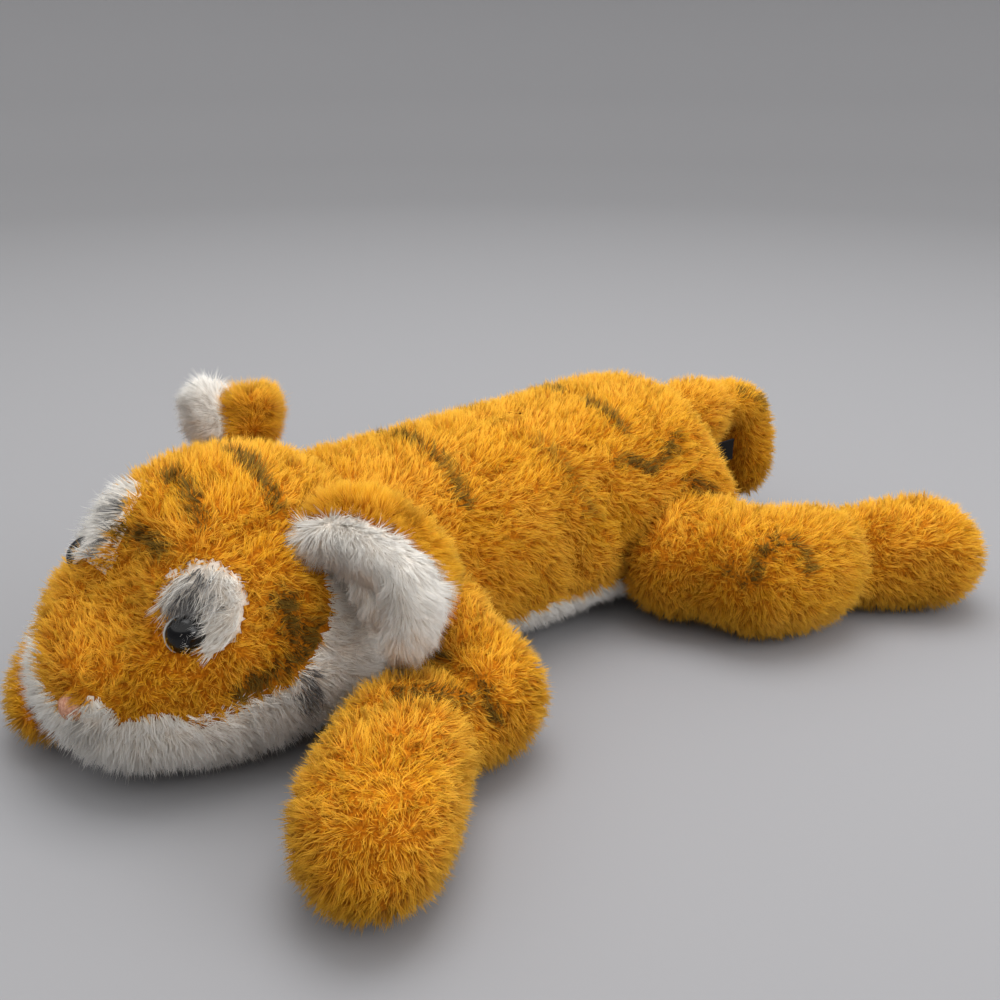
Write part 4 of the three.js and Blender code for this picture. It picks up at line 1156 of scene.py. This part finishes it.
def nearest_node(places, nodes):
    """The name of the solid that lies nearest to each place."""
    trees = [tree_of(copy_of(node)) for node in nodes]
    away = np.array([[tree.find_nearest(Vector(place))[3] for tree in trees] for place in places])
    return np.array(nodes)[away.argmin(axis=1)]


def cloth_panel(name, bm, keep, slot):
    """A panel of cloth from the faces of a form that are kept, or from all of it where keep is None."""
    part = bm.copy()
    if keep is not None:
        dropped = [face for face, stays in zip(part.faces, keep) if not stays]
        bmesh.ops.delete(part, geom=dropped, context="FACES")
    mesh = bpy.data.meshes.new(name)
    part.to_mesh(mesh)
    part.free()
    mesh.shade_smooth()
    piece = linked(name, mesh)
    piece.data.materials.append(SLOT_FINISH[slot][1])
    if keep is not None:
        sheet = piece.modifiers.new("thickness", "SOLIDIFY")
        sheet.thickness = CLOTH_THICKNESS
        sheet.offset = -1
    return piece


def pile_on(name, slot, roots, outward, comb, style, dye, seed):
    """A piece of pile with the finish of its fabric."""
    piece = grown(name, roots, outward, comb, STYLE[style], dye, seed)
    piece.data.materials.append(SLOT_FINISH[slot][0])
    return piece


print("cloth:", CLOTH_THICKNESS * MILLIMETRES_PER_METRE, "mm thick")

# %% [markdown]
# ### The trunk
# The back is one orange panel, and the belly under it is white. A strip of the white shows at the waist, so
# the white pile starts a little above the belly's own panel. The back's strands are two pieces, left and
# right, because no piece may grow too large.

# %% Dress the trunk
BELLY_SHOWS = 0.005
TRUNK_COMB_DOWN = 0.5
TRUNK_SEED = 3

trunk_path = [joint_place["head_turn"], joint_place["tail_swing"]]
roots, outward = strewn(trunk, others("trunk"))
comb = nearest_on_path(roots, trunk_path)[1] + DOWNWARD * TRUNK_COMB_DOWN
belly_low, belly_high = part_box("belly_panel")
in_belly = roots[:, 2] < belly_high.z + BELLY_SHOWS
in_belly &= (roots[:, 0] > belly_low.x) & (roots[:, 0] < belly_high.x)
on_left = roots[:, 1] < MIDDLE_Y
face_owner = nearest_node(face_places(trunk), TRUNK_NODES)
for node, slot in zip(TRUNK_NODES, ("orange_fabric", "white_fabric")):
    cloth = cloth_panel(node.replace("panel", "cloth"), trunk, face_owner == node, slot)
    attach(cloth, "torso")
    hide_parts(node)
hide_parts("body_stuffing", "pellet_pouch", "neck_pad")
TRUNK_PILES = (
    ("back_pile_left", "orange_fabric", "body", on_left & ~in_belly, TRUNK_DYE),
    ("back_pile_right", "orange_fabric", "body", ~on_left & ~in_belly, TRUNK_DYE),
    ("belly_pile", "white_fabric", "white", in_belly, None),
)
for name, slot, style, mine, dye in TRUNK_PILES:
    pile = pile_on(name, slot, roots[mine], outward[mine], comb[mine], style, dye, TRUNK_SEED)
    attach(pile, "torso")

# %% [markdown]
# ### The face
# White pile covers the chin, the band under the muzzle and the rear of the cheek. Its border was followed
# in the photograph as a ring of pixels, and the other cheek mirrors it about the middle of the face. Each
# eye patch has a ring of its own: the far one is given as if it lay on the near side.

# %% Divide the face
WHITE_FACE_PIXELS = [
    (0, 640), (30, 667), (49, 708), (66, 713), (80, 706), (89, 694), (100, 708), (116, 727),
    (150, 718), (180, 722), (210, 728), (232, 717), (256, 704), (291, 686), (315, 662), (331, 622),
    (335, 598), (328, 570), (316, 548), (345, 520), (450, 540), (520, 700), (400, 830), (0, 830),
]
PATCH_PIXELS = [
    (155, 598), (166, 574), (190, 560), (216, 560), (238, 574), (247, 600), (240, 632), (222, 652),
    (205, 658), (197, 642), (186, 622), (165, 620),
]
FAR_PATCH_PIXELS = [
    (139, 602), (142, 586), (155, 561), (167, 546), (183, 534), (212, 527), (238, 542), (248, 575),
    (248, 605), (240, 632), (222, 652), (205, 658), (197, 642), (186, 624), (165, 622),
]


def inside_ring(points, ring):
    """Which points of a picture lie inside a ring of pixels."""
    inside = np.zeros(len(points), bool)
    for (x1, y1), (x2, y2) in zip(ring, ring[1:] + ring[:1]):
        crosses = (points[:, 1] < y1) != (points[:, 1] < y2)
        meets = x1 + (points[:, 1] - y1) / ((y2 - y1) or TINY) * (x2 - x1)
        inside ^= crosses & (points[:, 0] < meets)
    return inside


def beyond(places, centre, direction):
    """How far each place lies beyond a centre, along a direction."""
    return (places - np.array(centre[:])) @ np.array(direction[:])


def face_part(places):
    """Which cloth each place of the head belongs to."""
    across = beyond(places, face_middle, face_across)
    to_left = places - 2 * np.minimum(across, 0)[:, None] * np.array(face_across[:])
    pixels = pixels_of(to_left)
    ahead = beyond(places, head_centre, face_ahead) > 0
    parts = np.full(len(places), "crown", dtype="<U16")
    parts[inside_ring(pixels, WHITE_FACE_PIXELS)] = "cheek_chin"
    parts[inside_ring(pixels, PATCH_PIXELS) & ahead & (across > 0)] = "left_eye_patch"
    parts[inside_ring(pixels, FAR_PATCH_PIXELS) & ahead & ~(across > 0)] = "right_eye_patch"
    return parts


face_parts = face_part(face_places(head))
print("faces of the head:", dict(zip(*np.unique(face_parts, return_counts=True))))

# %% [markdown]
# The fur of the face is combed back from the muzzle, and on the patches towards the eye. No strand grows
# where the eye's dome sits. A strand belongs to the part where its middle is seen, and not its root, so the
# border of the white fur falls on its ring.

# %% Dress the head
EYE_CLEARING = 0.0056
EYE_NEAR = 0.02
PILE_MIDDLE = 0.005
HEAD_COMB_DOWN = 0.2
LASH_RISE = 0.004
HEAD_SEED = 7
HEAD_CLOTHS = {
    "crown": ("crown_panel", "orange_fabric", "body"),
    "cheek_chin": ("cheek_chin_panel", "white_fabric", "white"),
    "left_eye_patch": ("left_eye_patch", "white_fabric", "patch"),
    "right_eye_patch": ("right_eye_patch", "white_fabric", "patch"),
}

muzzle = sum(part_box("nose"), Vector()) / 2
roots, outward = strewn(head, others("head"))
kept = np.ones(len(roots), bool)
for side, seat in eye_seat.items():
    reach = roots - np.array(seat[:])
    off_axis = np.linalg.norm(np.cross(reach, np.array(eye_axis[side][:])), axis=1)
    kept &= (np.linalg.norm(reach, axis=1) >= EYE_NEAR) | (off_axis > EYE_CLEARING)
roots, outward = roots[kept], outward[kept]
comb = unit(roots - np.array(muzzle[:])) + DOWNWARD * HEAD_COMB_DOWN
part = face_part(roots + outward * PILE_MIDDLE)
for seed, (name, (node, slot, style)) in enumerate(HEAD_CLOTHS.items()):
    cloth = cloth_panel(f"{name}_cloth", head, face_parts == name, slot)
    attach(cloth, "head")
    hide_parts(node)
    mine = part == name
    if style == "patch":
        eye = eye_seat[name.split("_")[0]] + face_ahead * LASH_RISE
        comb[mine] = unit(np.array(eye[:]) - roots[mine]) + DOWNWARD * HEAD_COMB_DOWN
    here = (roots[mine], outward[mine], comb[mine])
    pile = pile_on(f"{name}_pile", slot, *here, style, HEAD_DYE_AND_SHADE[slot], HEAD_SEED + seed)
    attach(pile, "head")
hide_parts("head_stuffing")

# %% [markdown]
# ### The limbs
# Each limb is one cloth with one pile, combed from the root to the toe.

# %% Dress the limbs
FOLD_REACH = 0.014
PAST_PELLETS = 2
LIMB_COMB_DOWN = 0.3
LIMB_SEED = 20

for seed, (name, limb) in enumerate(limbs.items()):
    upper, lower = limb["bodies"]
    root, fold = joint_place[f"{name}_swing"], joint_place[f"{name}_bend"]
    pellets = sum(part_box(f"{lower}_pellets"), Vector()) / 2
    path = [root, fold, fold + (pellets - fold) * PAST_PELLETS]
    roots, outward = strewn(limb["form"], others(name))
    comb = nearest_on_path(roots, path)[1] + DOWNWARD * LIMB_COMB_DOWN
    twin = name.replace("right", "left")
    lines = laid(LIMB_STRIPES[twin], twin)
    dye = stripe_dye([(lines if name == twin else mirrored(lines), STRIPE_WIDTH, 1.0)])
    cloth = cloth_panel(f"{upper}_cloth", limb["form"], None, "orange_fabric")
    pile = pile_on(f"{upper}_pile", "orange_fabric", roots, outward, comb, "body", dye, LIMB_SEED + seed)
    heading = (path[2] - fold).normalized()
    heading.z = 0
    for piece in (cloth, pile):
        fold - heading * FOLD_REACH
        fold + heading * FOLD_REACH
        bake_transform(piece)
    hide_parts(*limb["nodes"])

# %% [markdown]
# ### The tail
# The two bags of the tail are closed, and each rides on its own body with its own pile. The strands of both
# mix at the fold and hide it.

# %% Dress the tail
TAIL_SEED = 31

tail_tip = Vector(((end_low.x + end_high.x) / 2, tail_fold.y, end_low.z))
tail_path = [joint_place["tail_swing"], tail_fold, tail_tip]
for seed, (name, form) in enumerate(tail_parts.items()):
    roots, outward = strewn(form, others(*tail_parts), on_the_floor=False)
    comb = nearest_on_path(roots, tail_path)[1]
    dye = stripe_dye([(laid(TAIL_STRIPES[name], name), STRIPE_WIDTH, 1.0)])
    cloth = cloth_panel(f"{name}_cloth", form, None, "orange_fabric")
    pile = pile_on(f"{name}_pile", "orange_fabric", roots, outward, comb, "body", dye, TAIL_SEED + seed)
    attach(cloth, name)
    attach(pile, name)
    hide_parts(name, f"{name}_stuffing")

# %% [markdown]
# ### The ears
# A place on an ear is white where the row of white lobes is nearer than the row of orange ones. The ear's
# fur is finer than the rest, so its roots stand closer.

# %% Dress the ears
EAR_SPACING = 0.00048
EAR_BURIED = 0.003
EAR_COMB_DOWN = 0.5
EAR_SEED = 40


def is_white(places, ear):
    """Which places of an ear belong to its white face."""
    return nearest_on_path(places, ear["white"])[0] < nearest_on_path(places, ear["orange"])[0]


for seed, (side, ear) in enumerate(ears.items()):
    base = joint_place[f"{side}_ear_fold"]
    roots, outward = strewn(ear["form"], [neighbour("head")], EAR_SPACING, EAR_BURIED, on_the_floor=False)
    comb = unit(roots - np.array(base[:])) + DOWNWARD * EAR_COMB_DOWN
    white_faces, white_roots = is_white(face_places(ear["form"]), ear), is_white(roots, ear)
    for node, slot, style in zip(ear["nodes"], ("orange_fabric", "white_fabric"), ("ear_back", "ear_face")):
        of_face = style == "ear_face"
        cloth = cloth_panel(f"{node}_cloth", ear["form"], white_faces == of_face, slot)
        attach(cloth, f"{side}_ear")
        mine = white_roots == of_face
        here = (roots[mine], outward[mine], comb[mine])
        pile = pile_on(f"{node}_pile", slot, *here, style, None, EAR_SEED + seed)
        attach(pile, f"{side}_ear")
        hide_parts(node)

# %% [markdown]
# ## Eyes
# The eyes are moulded plastic domes. Each sits on a stem that a washer holds behind the cloth, so its rim
# sinks a little into the pile. A sphere would be too tall for them. A round piece is drawn as half of its
# outline, and spinning that about an axis gives the dome, the rim and the stem in one.

# %% Make the eyes
EYE_RADIUS = 0.0074
EYE_RIM = 0.96
EYE_BACK = -0.0012
STEM_RADIUS = 0.0022
STEM_TOP = -0.0015
STEM_END = -0.012
EYE_STEPS = 10
SPIN_STEPS = 48
EYE_BLACK = Finish("black_eye").set(Base_Color=colour(7, 7, 9), Roughness=0.16, Specular_IOR_Level=0.35)


def dome(radius, rise, steps):
    """The profile of a dome, from its rim up to its top, as points of radius and height."""
    turns = [step * math.pi / (2 * steps) for step in range(steps)]
    return [(radius * math.cos(turn), rise * math.sin(turn)) for turn in turns] + [(0.0, rise)]


def spun(name, profile, place, axis, steps=SPIN_STEPS):
    """A round piece from its profile, spun about an axis."""
    bm = bmesh.new()
    points = [bm.verts.new((radius, 0, height)) for radius, height in profile]
    edges = [bm.edges.new(pair) for pair in zip(points, points[1:])]
    bmesh.ops.spin(
        bm, geom=points + edges, cent=(0, 0, 0), axis=(0, 0, 1), angle=2 * math.pi, steps=steps,
        use_merge=True)
    bmesh.ops.remove_doubles(bm, verts=bm.verts, dist=MERGE_DISTANCE)
    bmesh.ops.recalc_face_normals(bm, faces=bm.faces)
    turn = Vector((0, 0, 1)).rotation_difference(axis).to_matrix().to_4x4()
    bmesh.ops.transform(bm, matrix=Matrix.Translation(place) @ turn, verts=bm.verts)
    mesh = bpy.data.meshes.new(name)
    bm.to_mesh(mesh)
    bm.free()
    mesh.shade_smooth()
    return linked(name, mesh)


stem = [(0.0, STEM_END), (STEM_RADIUS, STEM_END), (STEM_RADIUS, STEM_TOP), (EYE_RADIUS * EYE_RIM, EYE_BACK)]
for side, seat in eye_seat.items():
    eye = spun(f"{side}_eye_dome", stem + dome(EYE_RADIUS, EYE_DOME, EYE_STEPS), seat, eye_axis[side])
    eye.data.materials.append(EYE_BLACK)
    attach(eye, "head")
    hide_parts(f"{side}_eye")
    print(eye.name, len(eye.data.polygons), "faces")

# %% [markdown]
# ## Nose and label
# The nose is a small pad of smooth pink cloth, half buried in the pile at the tip of the bridge. Only its
# edge shows in the photograph. It is spun like the eyes, because a round pad needs no sewing pattern to
# look right at this size.

# %% Make the nose
NOSE_PIXEL = (71, 708)
NOSE_RADIUS = 0.0055
NOSE_RISE = 0.0042
NOSE_BACK = -0.004
NOSE_STEPS = 8
NOSE_SPIN_STEPS = 32
PINK_CLOTH = cloth_finish("pink_cloth", colour(176, 124, 100), colour(206, 158, 134))

nose_place = seen_at(NOSE_PIXEL, TREES["head"])
nose_axis = (nose_place - head_centre).normalized()
nose_profile = [(0.0, NOSE_BACK), (NOSE_RADIUS, NOSE_BACK)] + dome(NOSE_RADIUS, NOSE_RISE, NOSE_STEPS)
nose = spun("nose_pad", nose_profile, nose_place, nose_axis, NOSE_SPIN_STEPS)
nose.data.materials.append(PINK_CLOTH)
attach(nose, "head")
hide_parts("nose")
print("nose at", [round(value, 3) for value in nose_place])

# %% [markdown]
# The label is a blank loop of woven ribbon by the tail. A box of the tab's own size, with its edges rounded
# by a bevel, gives it the right thickness. The washers inside the head stay as the frame has them, and only
# get the colour of their plastic.

# %% Make the label and finish the washers
RIBBON_BEVEL = 0.4
WEAVE_SCALE = 1600.0
ribbon_finish = Finish("black_ribbon")
weave = ribbon_finish.noise(WEAVE_SCALE, 1.0)
ribbon_colour = ribbon_finish.mix(weave, colour(9, 9, 10), colour(24, 24, 26))
RIBBON_BLACK = ribbon_finish.set(Base_Color=ribbon_colour, Roughness=0.9, Specular_IOR_Level=0.15)
WASHER_PLASTIC = Finish("washer_plastic").set(Base_Color=colour(206, 206, 204), Roughness=0.45)

low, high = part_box("label_tab")
size = high - low
bm = bmesh.new()
bmesh.ops.create_cube(bm, size=1, matrix=Matrix.Translation((low + high) / 2) @ Matrix.Diagonal((*size, 1)))
bmesh.ops.bevel(
    bm, geom=bm.edges[:], offset=size.y * RIBBON_BEVEL, segments=3, profile=0.5, material=-1,
    affect="EDGES")
ribbon_mesh = bpy.data.meshes.new("label_ribbon")
bm.to_mesh(ribbon_mesh)
bm.free()
label = linked("label_ribbon", ribbon_mesh)
label.data.materials.append(RIBBON_BLACK)
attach(label, "torso")
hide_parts("label_tab")
for side in ("left", "right"):
    washer = frame["nodes"][f"{side}_eye_washer"]
    washer.data.materials.clear()
    washer.data.materials.append(WASHER_PLASTIC)
print("label:", [round(length * MILLIMETRES_PER_METRE, 1) for length in size], "mm")

# %% [markdown]
# ## Floor and light
# A pale floor curves up into a wall all round, so no view shows a horizon. Two soft lamps and an even sky
# light the toy at a plain level: one lamp is overhead, and the other is low in front, on the side of the
# tail. Harder lamps would pick out single strands, and fur looks best in a broad light.

# %% Set the stage
FLOOR_PROFILE = [(0.0, 0.0), (1.6, 0.0), (1.9, 0.04), (2.15, 0.16), (2.3, 0.4), (2.36, 0.8), (2.38, 1.3)]
FLOOR_STEPS = 64
SKY_COLOUR = (1.0, 0.99, 0.97, 1.0)
SKY_STRENGTH = 1.3
LAMP_AIM = Vector((0, 0, 0.05))
LAMP_SIZE = 0.9
LAMPS = {
    "overhead": (Vector((0.15, 0.1, 1.3)), 10),
    "front": (Vector((0.55, -1.2, 0.65)), 7.8),
}

floor = spun("floor", FLOOR_PROFILE, Vector(), Vector((0, 0, 1)), FLOOR_STEPS)
floor.data.materials.append(Finish("pale_floor").set(Base_Color=colour(141, 141, 144), Roughness=0.9))
world = bpy.data.worlds.new("sky")
world.use_nodes = True
bpy.context.scene.world = world
sky = world.node_tree.nodes["Background"]
sky.inputs["Color"].default_value = SKY_COLOUR
sky.inputs["Strength"].default_value = SKY_STRENGTH
for name, (place, power) in LAMPS.items():
    data = bpy.data.lights.new(name, "AREA")
    data.size = LAMP_SIZE
    data.energy = power
    aim = (LAMP_AIM - place).to_track_quat("-Z", "Y")
    linked(name, data).matrix_world = Matrix.Translation(place) @ aim.to_matrix().to_4x4()
bpy.context.scene.view_settings.view_transform = "Standard"
print("lamps:", list(LAMPS))
